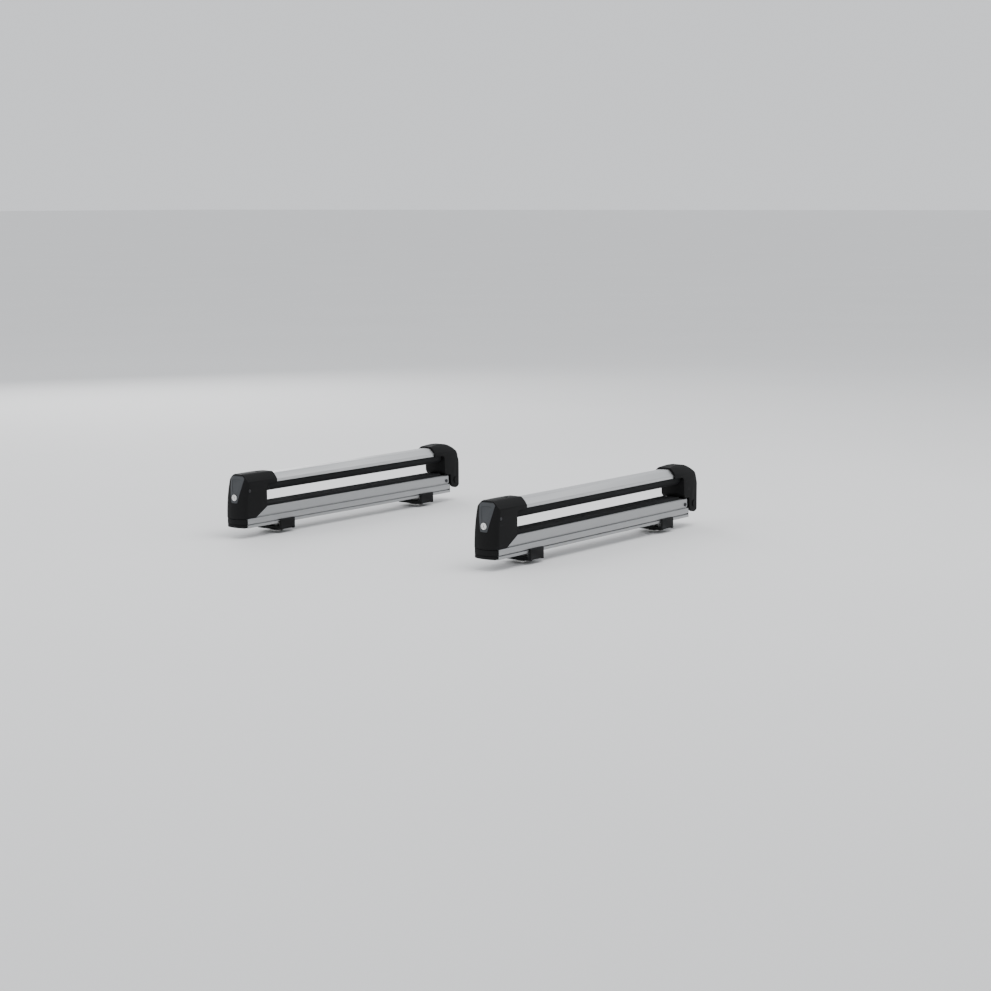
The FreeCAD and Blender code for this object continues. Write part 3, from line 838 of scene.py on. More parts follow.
    def piece(
        self, name: str, datum: Datum, material: bpy.types.Material, smooth: float = 32.0
    ) -> bpy.types.Object:
        """Make the finished object, at the origin with its place in its mesh.

        Args:
            name: the piece's name, without the carrier's side.
            datum: the carrier it belongs to.
            material: its finish.
            smooth: angle below which edges are shaded smooth, in degrees.

        Returns:
            The new object.
        """
        copy = self.bm.copy()
        bmesh.ops.transform(copy, matrix=datum.matrix, verts=copy.verts)
        bmesh.ops.remove_doubles(copy, verts=copy.verts, dist=1e-7)
        mesh = bpy.data.meshes.new(f"{name}_{datum.side}")
        copy.to_mesh(mesh)
        copy.free()
        mesh.shade_smooth()
        mesh.set_sharp_from_angle(angle=math.radians(smooth))
        mesh.materials.clear()
        mesh.materials.append(material)
        made = bpy.data.objects.new(mesh.name, mesh)
        bpy.context.scene.collection.objects.link(made)
        return made


# ---------------------------------------------------------------- sub-assemblies
@dataclass(frozen=True)
class Piece:
    """One finished solid, and what it stands for in the frame."""

    name: str
    slot: Slot
    body: str
    replaced: str
    solid: Solid
    shared: bool = False


@dataclass
class Carrier:
    """Sizes that several sub-assemblies of one carrier share, in millimetres."""

    near_face: float = -3.0
    far_end: float = 707.0
    half_width: float = 28.6
    rail_bottom: float = -19.0
    rail_top: float = 20.0
    rail_upper_half: float = 25.8
    rail_start: float = 8.0
    rail_end: float = 666.0
    groove_z: float = -12.0
    bar_top: float = -33.0
    arm_bottom: float = 67.0
    arm_top: float = 84.8
    arm_half: float = 23.1
    arm_start: float = 58.0
    arm_end: float = 652.0
    pad_half: float = 20.0
    axis_x: float = 689.0
    axis_z: float = 8.0
    pivot_x: float = 15.7
    pivot_z: float = 56.9
    lock_z: float = 42.7
    plunger_z: float = 77.0
    shoulder_z: float = 72.0
    arm_screws: tuple[float, float] = (67.0, 647.0)
    screw_rise: float = 1.2
    recess: float = 4.6
    arm_gap: float = 0.15
    pad_gap: float = 0.3
    lean: float = 10.8
    front_height: float = 84.0
    bow: float = 56.0
    dip: float = 1.4
    dip_end: float = 12.0

    def front_x(self, z: float) -> float:
        """Front face at a height: upright at the foot, leaning back towards the brow."""
        return self.near_face + self.lean * (max(z, 0.0) / self.front_height) ** 2.5

    def dipped(self, place: Vector) -> Vector:
        """Lower a point near the foot, most in the middle of the front.

        Args:
            place: the point.

        Returns:
            The lowered point.
        """
        depth = (self.dip_end - place.x) / (self.dip_end - self.near_face)
        share = (1 - (place.y / self.half_width) ** 2) * depth
        return place - Vector((0, 0, self.dip * max(share, 0.0)))

    def barrel(self, front: float, half: float, corner: float, back: Sequence[Point]) -> list[Point]:
        """Plan outline with a bowed front, round corners and straight sides.

        Args:
            front: foremost x.
            half: half of the width.
            corner: radius of the corners.
            back: the rest of the left half, as points in (x, y).

        Returns:
            The whole outline's points in (x, y).
        """
        edge = (half - corner) / (1 - corner / self.bow)
        turn = math.asin(edge / self.bow)
        edge_x = front + self.bow * (1 - math.cos(turn))
        side_x = edge_x + corner * math.cos(turn)
        middle = (turn + math.pi / 2) / 2
        bowed = Arc(
            (front + self.bow * (1 - math.cos(turn / 2)), self.bow * math.sin(turn / 2)), (edge_x, edge)
        )
        rounded = Arc(
            (side_x - corner * math.cos(middle), half - corner + corner * math.sin(middle)), (side_x, half)
        )
        left = trace([(front, 0.0), bowed, rounded, *back], 10)
        return left + [(x, -y) for x, y in reversed(left[1:])]

    def crown(self, half: float, top: float, draft: float, sink: float = 0.0) -> list[Point]:
        """Cross-section of the housing or the hinge cap, with soft shoulders.

        Args:
            half: half of the width at the foot.
            top: height of the crown.
            draft: how much narrower each side is at the shoulder.
            sink: how far the shoulders are lowered, for a cavity.

        Returns:
            The outline's points in (y, z).
        """
        narrow, low = half - draft, self.shoulder_z - sink
        return mirrored(
            [
                (0, -40), (half, -40), (half, 0), (narrow + 0.04, low - 1.8),
                Arc((narrow - 0.55, low + 1.6), (narrow - 2.0, low + 4.0)),
                Arc((narrow - 6.6, low + 9.9), (narrow - 12.4, low + 15.2)),
                Arc((narrow - 15.0, low + 16.9 - sink / 3), (narrow - 19.0, top - 0.5)), (0, top)
            ],
            8
        )

    def arm_section(self, grow: float) -> list[Point]:
        """Outside of the upper extrusion, grown by a gap.

        Args:
            grow: how far the outline is moved out, in millimetres.

        Returns:
            The outline's points in (y, z).
        """
        half, top, bottom = self.arm_half + grow, self.arm_top + grow, self.arm_bottom
        return mirrored(
            [
                (0, bottom - grow), (half - 0.5, bottom - grow), (half, bottom + 4),
                Arc((half - 0.3, bottom + 5.7), (half - 1.0, bottom + 7)), (half - 9.6, top - 2.1),
                Arc((half - 11.6, top - 0.9), (half - 14.5, top - 0.4)), (0, top)
            ],
            8
        )


@dataclass
class NearHousing:
    """Latch housing at the near end of the arm, with its button, lock and latch."""

    sizes: Carrier
    top: float = 90.0
    back: float = 65.6
    collar_end: float = 98.0
    collar_half: float = 26.6
    corner: float = 9.0
    wall: float = 2.2
    draft: float = 1.6
    button_low: float = 31.8
    roof: float = 3.2

    def leaning_form(self, inset: float, narrower: float, corner: float) -> Solid:
        """Solid behind the leaning, bowed front face.

        Args:
            inset: how far the front is moved in.
            narrower: how far the sides are moved in.
            corner: plan radius of the corners.

        Returns:
            The closed form, from below the skirt to above the crown.
        """
        c = self.sizes
        rings = []
        for step in range(27):
            z = -6.0 + 4.0 * step
            half = c.half_width - narrower - self.draft * max(z, 0.0) / c.shoulder_z
            back = [(64.0, half), (self.collar_end + 2, min(half, self.collar_half - narrower))]
            rings.append([(x, y, z) for x, y in c.barrel(c.front_x(z) + inset, half, corner, back)])
        return Solid.stacked(rings)

    def foot_curve(self, place: Vector) -> Vector:
        """Lower the middle of the front foot edge a little.

        Args:
            place: a vertex of the housing.

        Returns:
            Its new place.
        """
        if place.z > 1.5 or place.x > self.sizes.dip_end:
            return place
        return self.sizes.dipped(place)

    def shield(self, grow: float) -> list[Point]:
        """Outline of the button in (y, z), grown by a gap.

        Args:
            grow: how far the outline is moved out, in millimetres.

        Returns:
            The outline's points in (y, z).
        """
        low = self.button_low
        return mirrored(
            [
                (0, low - grow), (5.2 + grow / 2, low - grow),
                Arc((7.5 + grow * 0.8, low + 0.9 - grow * 0.6), (8.6 + grow, low + 3.7)),
                (14.9 + grow, 62.0), (18.0 + grow, 81.0), (17.2 + grow, 82.4), (12.6 + grow, 86.6),
                (12.6 + grow, 95.0), (0, 95.0)
            ],
            8
        )

    def outer(self) -> Solid:
        """Outside of the housing: diagonal skirt, collar and brow.

        Returns:
            The closed form, not yet hollowed.
        """
        c = self.sizes
        top, under = self.top, c.arm_bottom - 0.3
        side: Outline = [
            (-10, 0.6), (-10, 85.2), (8.0, 85.2), (9.2, 87.0), Arc((11.0, 88.7), (16.5, top - 0.6)),
            Arc((56.0, top), (self.collar_end, top - 1.6)), (self.collar_end, under), (75.0, under),
            Arc((69.6, 65.2), (66.6, 59.6)), (self.back, 20.3), (31.7, 0.6)
        ]
        form = self.leaning_form(0.0, 0.0, self.corner)
        form.keep(Solid.prism(trace(side, 8), Axis.ACROSS, -35, 35),
                  Solid.prism(c.crown(c.half_width, top + 1.0, self.draft), Axis.ALONG, -10.7, 110.3))
        return form.reshape(self.foot_curve)

    def cavity(self) -> Solid:
        """Hollow inside of the housing.

        Returns:
            The form to take away.
        """
        c = self.sizes
        roof = self.top - self.roof
        room = [(-10, -5), (-10, 83), (13, 83), (15, roof), (c.arm_start - 2, roof), (c.arm_start - 2, 62),
                (self.back - self.wall, 62), (self.back - self.wall, -5)]
        form = self.leaning_form(self.wall + 0.6, self.wall, 5.0)
        return form.keep(
            Solid.prism(room, Axis.ACROSS, -35, 35),
            Solid.prism(c.crown(c.half_width - self.wall, roof, self.draft, 2.0), Axis.ALONG, -10, 110)
        )

    def shell(self) -> Solid:
        """The moulded shell with every opening.

        Returns:
            The finished solid.
        """
        c = self.sizes
        roof = self.top - self.roof
        opening = Solid.prism(self.shield(0.5), Axis.ALONG, -10, 19).keep(
            Solid.box((-12, -30, 0), (20, 30, roof)),
            Solid.prism(
                c.crown(c.half_width - 1.2, self.top - 1.2, self.draft, 0.6), Axis.ALONG, -12.4, 20.2
            )
        )
        return self.outer().cut(
            self.cavity(), opening, Solid.prism(c.arm_section(c.arm_gap), Axis.ALONG, c.arm_start - 3, 110),
            Solid.box(
                (self.back + 0.7, -c.pad_half - c.pad_gap, 40), (110, c.pad_half + c.pad_gap, c.arm_bottom)
            ),
            Solid.box(
                (self.back - 5, -c.half_width + 2.2, -5),
                (self.back + 5, c.half_width - 2.2, c.rail_top + 1)
            ),
            Solid.rod((c.pivot_x, -40, c.pivot_z), (c.pivot_x, 40, c.pivot_z), 3.3),
            Solid.rod((c.arm_screws[0], 0, c.arm_top + c.screw_rise), (c.arm_screws[0], 0, 99), c.recess),
        ).rounded(0.4, 3, angle=38)

    def face_x(self, y: float, z: float) -> float:
        """Front of the button at a place across and up, its brow leaning back.

        Args:
            y: place across the carrier.
            z: height.

        Returns:
            The face's x.
        """
        c = self.sizes
        lean = c.front_x(min(z, c.front_height)) + max(z - c.front_height, 0.0)
        return lean - 0.3 + c.bow - math.sqrt(c.bow ** 2 - y ** 2)

    def button(self) -> Solid:
        """Shield-shaped button with a sunk inner panel, a leaning brow and a hole for the lock.

        Returns:
            The finished solid.
        """
        c = self.sizes
        quarters = (0.25, 0.5, 0.75)
        rows = [(8.6 + 6.3 * share, 35.5 + 26.5 * share) for share in quarters]
        rows += [
            (14.9 + 3.1 * share, 62.0 + 19.0 * share) for share in quarters
        ] + [(15.45, c.front_height)]
        rows += [(-y, z) for y, z in rows]
        edge = [(y, z) for y, z in self.shield(0.0) if z < 88] + rows
        points = [
            (self.face_x(y * share, z), y * share, z) for y, z in edge for share in (0.0, *quarters, 1.0)
        ]
        points += [(self.face_x(y, z) + (0.6 if z > c.front_height else 3.2), y, z) for y, z in edge]
        panel = mirrored([(0, 51.0), (5.4, 51.0), (10.6, 68.0), (12.4, 75.5), (10.4, 79.0), (0, 79.6)])
        pocket = [
            (self.face_x(y * share, z) + 0.75, y * share, z) for y, z in panel for share in (0.0, 0.5, 1.0)
        ]
        pocket += [(-9.0, y, z) for y, z in panel]
        body = Solid.hull(points, 1.5).cut(Solid.hull(pocket, 1.5)).rounded(0.5, 3, angle=14)
        body.cut(Solid.rod((-5, 0, c.lock_z), (30, 0, c.lock_z), 7.3))
        ring = [(6.6, 2.4), (7.6, 2.4), (7.6, 10.0), (6.6, 10.0)]
        collar = Solid.turned(ring, (c.front_x(c.lock_z), 0, c.lock_z), (1, 0, 0))
        neck = Solid.rod((c.front_x(c.plunger_z) + 2, 0, c.plunger_z), (13.6, 0, c.plunger_z), 5.0, 0.4)
        boss = Solid.rod((13.2, 0, c.plunger_z), (18, 0, c.plunger_z), 2.4, 0.4)
        pads = [Solid.box((8.0, y - 1.5, 74.8), (11.2, y + 1.5, 77.5)) for y in (-11.5, 11.5)]
        return body.beside(collar, neck, boss, *pads)

    def lock_barrel(self) -> Solid:
        """Bright lock cylinder with a stepped, chamfered face.

        Returns:
            The finished solid.
        """
        c = self.sizes
        face = c.front_x(c.lock_z) - 1.0
        length = 18.0 - face
        ring = [
            (4.55, 0.35), (5.2, 0.0), (6.0, 0.0), Arc((6.35, 0.15), (6.5, 0.5)), (6.5, length),
            (4.55, length)
        ]
        return Solid.turned(ring, (face, 0, c.lock_z), (1, 0, 0), 64)

    def lock_core(self) -> Solid:
        """Turning core with its keyway.

        Returns:
            The finished solid.
        """
        c = self.sizes
        face = c.front_x(c.lock_z) - 0.8
        body = Solid.rod((face, 0, c.lock_z), (18.4, 0, c.lock_z), 4.45, 0.3)
        slot = Solid.box((-5, -0.55, c.lock_z - 3.1), (12, 0.55, c.lock_z + 3.1))
        ward = Solid.box((-5, -1.1, c.lock_z - 1.2), (12, 0.2, c.lock_z + 0.6))
        return body.cut(slot.weld(ward)).rounded(0.12, 2, angle=40)

    def lock_cam(self) -> Solid:
        """Tongue on the back of the core.

        Returns:
            The finished solid.
        """
        z = self.sizes.lock_z
        disc = Solid.rod((18.4, 0, z), (20.0, 0, z), 4.0)
        return disc.weld(Solid.box((18.4, -2.2, z), (20.0, 2.2, z + 9.0))).rounded(0.25, 2)

    def pin(self) -> Solid:
        """Headed pin across the housing.

        Returns:
            The finished solid.
        """
        c = self.sizes
        shaft = Solid.rod((c.pivot_x, -26.6, c.pivot_z), (c.pivot_x, 26.6, c.pivot_z), 2.0)
        head = Solid.turned(
            [(0, 0), (2.95, 0), (2.95, 1.2), Arc((2.5, 1.6), (1.6, 1.75)), (1.3, 1.45), (0, 1.4)],
            (c.pivot_x, 26.4, c.pivot_z), (0, 1, 0), 40
        )
        return shaft.beside(head, head.flipped_copy())

    def pawl(self) -> Solid:
        """Hooked fork that catches the striker.

        Returns:
            The finished solid.
        """
        c = self.sizes
        hook: Outline = [
            (c.pivot_x - 4.2, 78.0), (c.pivot_x + 1.5, 78.0), (c.pivot_x + 5.5, c.pivot_z), (26.0, 42.0),
            (26.3, 30.6), (33.0, 30.6), Arc((31.5, 27.6), (27.5, 26.0)), (22.0, 26.0),
            (c.pivot_x - 4.0, c.pivot_z - 3)
        ]
        bore = Solid.rod((c.pivot_x, -40, c.pivot_z), (c.pivot_x, 40, c.pivot_z), 2.05)
        plate = Solid.prism(trace(hook), Axis.ACROSS, 10, 13).cut(bore).rounded(0.4, 2)
        bridge = Solid.box((c.pivot_x + 0.3, -10.5, 62.5), (c.pivot_x + 3.5, 10.5, 68.0)).rounded(0.4, 2)
        return plate.beside(plate.flipped_copy(), bridge)

    def spring_seat(self) -> Solid:
        """Plug that closes the arm's near end and carries the button spring.

        Returns:
            The finished solid.
        """
        c = self.sizes
        plate = Solid.box((c.arm_start - 2, -13, c.arm_bottom + 2), (c.arm_start, 13, 81.5)).rounded(0.5, 2)
        nose = Solid.rod((c.arm_start - 6, 0, c.plunger_z), (c.arm_start - 1.5, 0, c.plunger_z), 2.4, 0.4)
        plug = Solid.box((c.arm_start, -12, c.arm_bottom + 7.3), (c.arm_start + 5, 12, 80.5))
        return plate.beside(nose, plug)

    def pieces(self, side: str) -> list[Piece]:
        """Every piece of the housing end for one carrier.

        Args:
            side: front or rear.

        Returns:
            The pieces.
        """
        arm, button, lock, pawl = f"arm_{side}", f"button_{side}", f"lock_{side}", f"pawl_{side}"
        return [
            Piece("housing_shell", Slot.BLACK_PLASTIC, arm, "housing", self.shell()),
            Piece("push_button", Slot.GREY_PLASTIC, button, "release_button", self.button()),
            Piece("lock_cylinder", Slot.LOCK_METAL, button, "lock_barrel", self.lock_barrel()),
            Piece("lock_plug", Slot.LOCK_METAL, lock, "lock_core", self.lock_core()),
            Piece("lock_tongue", Slot.STEEL, lock, "lock_cam", self.lock_cam()),
            Piece("housing_pin", Slot.DARK_STEEL, arm, "pawl_pin", self.pin()),
            Piece("pawl_fork", Slot.STEEL, pawl, "latch_pawl", self.pawl()),
            Piece("arm_plug", Slot.BLACK_PLASTIC, arm, "spring_seat", self.spring_seat()),
        ]


@dataclass
class UpperArm:
    """Silver extrusion, its rubber strip and the screws on top."""

    sizes: Carrier
    pad_bottom: float = 49.0
    pad_start: float = 66.6
    pad_end: float = 648.0
    line_depth: float = 0.5

    def extrusion(self) -> Solid:
        """Profile with sloped shoulders and a pair of fine lines along each side.

        Returns:
            The finished solid.
        """
        c = self.sizes
        half, top, bottom = c.arm_half, c.arm_top, c.arm_bottom
        deep = self.line_depth
        right: Outline = [
            (0, bottom + 5), (9, bottom + 5), (9, bottom + 2), (5, bottom + 2), (5, bottom),
            (half - 0.9, bottom), (half - 0.5, bottom + 0.4), (half - 0.3, bottom + 1.3),
            (half - 0.3 - deep, bottom + 1.5), (half - 0.3 - deep, bottom + 2.0),
            (half - 0.2, bottom + 2.2), (half - 0.1, bottom + 3.3), (half - deep, bottom + 3.6),
            (half - deep, bottom + 4.2), (half, bottom + 4.5),
            Arc((half - 0.3, bottom + 5.8), (half - 1.0, bottom + 7.0)), (half - 9.6, top - 2.1),
            Arc((half - 11.6, top - 0.9), (half - 14.5, top - 0.4)), (0, top)
        ]
        hollow = mirrored(
            [
                (0, bottom + 7), (half - 4.1, bottom + 7), (half - 11.8, top - 3.1),
                Arc((6, top - 2.3), (0, top - 2.1))
            ]
        )
        body = Solid.prism(mirrored(right, 10), Axis.ALONG, c.arm_start, c.arm_end)
        return body.cut(Solid.prism(hollow, Axis.ALONG, c.arm_start - 5, c.arm_end + 5))

    def strip(self) -> Solid:
        """Rubber strip of D-shaped section with rounded ends.

        Returns:
            The finished solid.
        """
        c = self.sizes
        bottom, half = self.pad_bottom, c.pad_half
        section = mirrored(
            [
                (0, bottom), Arc((half * 0.72, bottom + 3.2), (half, bottom + 11)),
                (half - 0.8, c.arm_bottom), (4.8, c.arm_bottom), (4.8, c.arm_bottom + 2.2),
                (8.6, c.arm_bottom + 2.2), (8.6, c.arm_bottom + 4.8)
            ],
            14
        )
        return Solid.prism(section, Axis.ALONG, self.pad_start, self.pad_end).rounded(0.9, 3, angle=50)

    def screws(self) -> Solid:
        """Countersunk socket screws in the dark recesses on top.

        Returns:
            Both screws.
        """
        c = self.sizes
        whole = Solid()
        for x in c.arm_screws:
            whole.beside(socket_screw((x, 0, c.arm_top + c.screw_rise), (0, 0, 1), 2.0, 4.0, 2.0, 8.0))
        return whole

    def pieces(self, side: str) -> list[Piece]:
        """Every piece of the arm for one carrier.

        Args:
            side: front or rear.

        Returns:
            The pieces.
        """
        arm = f"arm_{side}"
        return [
            Piece("arm_extrusion", Slot.ARM_ALUMINIUM, arm, "upper_profile", self.extrusion()),
            Piece("arm_rubber", Slot.RUBBER, arm, "upper_pad", self.strip()),
            Piece("top_screws", Slot.DARK_STEEL, arm, "arm_screws", self.screws()),
        ]


def socket_screw(
    seat: Sequence[float], out: Sequence[float], radius: float, head: float, height: float, length: float
) -> Solid:
    """Pan-head screw with a hexagon socket.

    Args:
        seat: point under the head, on the axis.
        out: direction from the seat out of the head.
        radius: shank radius.
        head: head radius.
        height: head height.
        length: shank length.

    Returns:
        The screw.
    """
    axis = Vector(out).normalized()
    foot = Vector(seat) - axis * length
    body = Solid.turned(
        [
            (0, 0), (radius, 0), (radius, length), (head, length), (head, length + height * 0.55),
            Arc((head * 0.86, length + height * 0.9), (head * 0.6, length + height)), (0, length + height)
        ],
        foot, axis, 32
    )
    socket = Solid.turned(
        [(0, 0), (head * 0.45, 0), (head * 0.45, height), (0, height)], Vector(seat) + axis * height * 0.4,
        axis, 6
    )
    return body.cut(socket)


@dataclass
class HingeEnd:
    """Far end of the carrier: cap with two cheeks on the arm, and the block that holds the pin."""

    sizes: Carrier
    lobe: float = 18.0
    half: float = 28.1
    collar: float = 617.0
    collar_half: float = 26.6
    cheek_inner: float = 21.8
    knuckle_half: float = 20.4
    knuckle: float = 13.0
    bore: float = 4.05

    def cap_side(self) -> Outline:
        """Side outline of the cap.

        Returns:
            The outline in (x, z).
        """
        c = self.sizes
        x, z, r = c.axis_x, c.axis_z, self.lobe
        return [
            (self.collar, c.arm_bottom - 0.3), (640.0, c.arm_bottom - 0.3),
            Arc((646.2, 64.6), (649.0, 58.0)), (650.5, 34.0), Arc((653.2, 25.4), (661.0, 22.0)),
            (671.0, 22.0), Arc((x - r + 0.2, 14.5), (x - r, z)), Arc((x, z - r), (x + r, z)),
            Arc((c.far_end - 1.4, 34.0), (697.2, 60.0)), Arc((690.8, 75.2), (680.8, 84.6)),
            Arc((674.6, 88.4), (666.0, 90.4)), (646.0, 91.3), Arc((631.0, 90.1), (self.collar, 88.2))
        ]

    def cap(self) -> Solid:
        """Moulded cap round the arm's far end.

        Returns:
            The finished solid.
        """
        c = self.sizes
        x, z, r, half = c.axis_x, c.axis_z, self.lobe, self.half
        body = Solid.prism(trace(self.cap_side(), 10), Axis.ACROSS, -half - 5, half + 5)
        end = c.far_end
        plan = mirror_plan(
            [
                (self.collar - 1, self.collar_half), (645, half), (end - 9, half),
                Arc((end - 2.6, half - 2.6), (end, half - 9))
            ],
            10
        )
        body.keep(
            Solid.prism(plan, Axis.UP, -40, 110),
            Solid.prism(c.crown(half, 92.0, 0.0), Axis.ALONG, 600, 720)
        )
        room = self.knuckle + 1.5
        hollow = Solid.prism(
            [(656, 30), (x + 10, 30), (x + 5, 64), (x - 6, 80), (656, 84)], Axis.ACROSS, -half + 6, half - 6
        )
        tools = [
            Solid.prism(c.arm_section(c.arm_gap), Axis.ALONG, 600, c.arm_end + 0.2),
            Solid.box((640, -self.cheek_inner, z - 40), (x + room, self.cheek_inner, z + room)),
            Solid.box((654, -self.cheek_inner, 20), (x + 12, self.cheek_inner, 31)),
            hollow.keep(Solid.box((600, -18, 20), (720, 18, 78))),
            Solid.box((600, -c.pad_half - c.pad_gap, 40), (648.3, c.pad_half + c.pad_gap, c.arm_bottom)),
            Solid.rod((x, -40, z), (x, 40, z), self.bore),
            Solid.rod((c.arm_screws[1], 0, c.arm_top + c.screw_rise), (c.arm_screws[1], 0, 99), c.recess),
        ]
        return body.cut(*tools).rounded(0.5, 3, angle=38)

    def block(self) -> Solid:
        """Block in the rail's far end, with the hinge knuckle.

        Returns:
            The finished solid.
        """
        c = self.sizes
        x, z, k = c.axis_x, c.axis_z, self.knuckle_half
        side: Outline = [
            (c.rail_end, -5), (c.axis_x, z - self.knuckle),
            Arc((x + self.knuckle, z), (x, z + self.knuckle)), (x - 8, z + 9), (c.rail_end, z + 8.5)
        ]
        body = Solid.prism(trace(side, 16), Axis.ACROSS, -k, k)
        flange = Solid.box(
            (c.rail_end, -self.half, c.rail_bottom), (c.rail_end + 2.5, self.half, -0.5)
        ).rounded(0.6, 2)
        upper = Solid.box((c.rail_end, -k, -0.5), (c.rail_end + 2.5, k, c.rail_top - 2))
        body.weld(upper).cut(Solid.rod((x, -40, z), (x, 40, z), self.bore)).rounded(0.5, 2, angle=38)
        return body.beside(flange)

    def pin(self) -> Solid:
        """Hinge pin.

        Returns:
            The finished solid.
        """
        c = self.sizes
        end = self.half + 0.7
        return Solid.rod((c.axis_x, -end, c.axis_z), (c.axis_x, end, c.axis_z), 4.0, 0.3)

    def caps(self) -> Solid:
        """Push-on caps over the pin's ends.

        Returns:
            Both caps.
        """
        c = self.sizes
        cap = Solid.turned(
            [
                (4.0, 0), (7.0, 0), (7.0, 1.2), Arc((6.3, 1.85), (5.0, 2.0)), (0, 2.0), (0, 0.45),
                (4.0, 0.45)
            ],
            (c.axis_x, self.half + 0.3, c.axis_z), (0, 1, 0), 40
        )
        return cap.beside(cap.flipped_copy())

    def washers(self) -> Solid:
        """Nylon washers between knuckle and cheeks.

        Returns:
            Both washers.
        """
        c = self.sizes
        ring = Solid.turned(
            [(self.bore, 0), (10, 0), (10, 1.2), (self.bore, 1.2)], (c.axis_x, self.knuckle_half, c.axis_z),
            (0, 1, 0)
        )
        return ring.beside(ring.flipped_copy())

    def screws(self) -> Solid:
        """Screws through the rail's sides.

        Returns:
            Both screws.
        """
        c = self.sizes
        screw = socket_screw((c.rail_end - 8, c.rail_upper_half, 8.0), (0, 1, 0), 2.0, 4.0, 1.8, 12.0)
        return screw.beside(screw.flipped_copy())

    def pieces(self, side: str) -> list[Piece]:
        """Every piece of the hinge end for one carrier.

        Args:
            side: front or rear.

        Returns:
            The pieces.
        """
        arm = f"arm_{side}"
        return [
            Piece("hinge_end_cap", Slot.BLACK_PLASTIC, arm, "hinge_cap", self.cap()),
            Piece("knuckle_block", Slot.BLACK_PLASTIC, "base", "hinge_block", self.block()),
            Piece("arm_pin", Slot.STEEL, "base", "hinge_pin", self.pin()),
            Piece("pin_caps", Slot.BLACK_PLASTIC, "base", "hinge_pin_caps", self.caps(), True),
            Piece("knuckle_washers", Slot.NYLON, "base", "hinge_washers", self.washers(), True),
            Piece("block_screws", Slot.DARK_STEEL, "base", "hinge_screws", self.screws(), True),
        ]


def mirror_plan(outline: Outline, steps: int) -> list[Point]:
    """Left half of a plan outline in (x, y), made whole by its mirror image.

    Args:
        outline: the half with y above 0.
        steps: chords in each arc.

    Returns:
        The whole outline's points.
    """
    upper = trace(outline, steps)
    return upper + [(x, -y) for x, y in reversed(upper)]


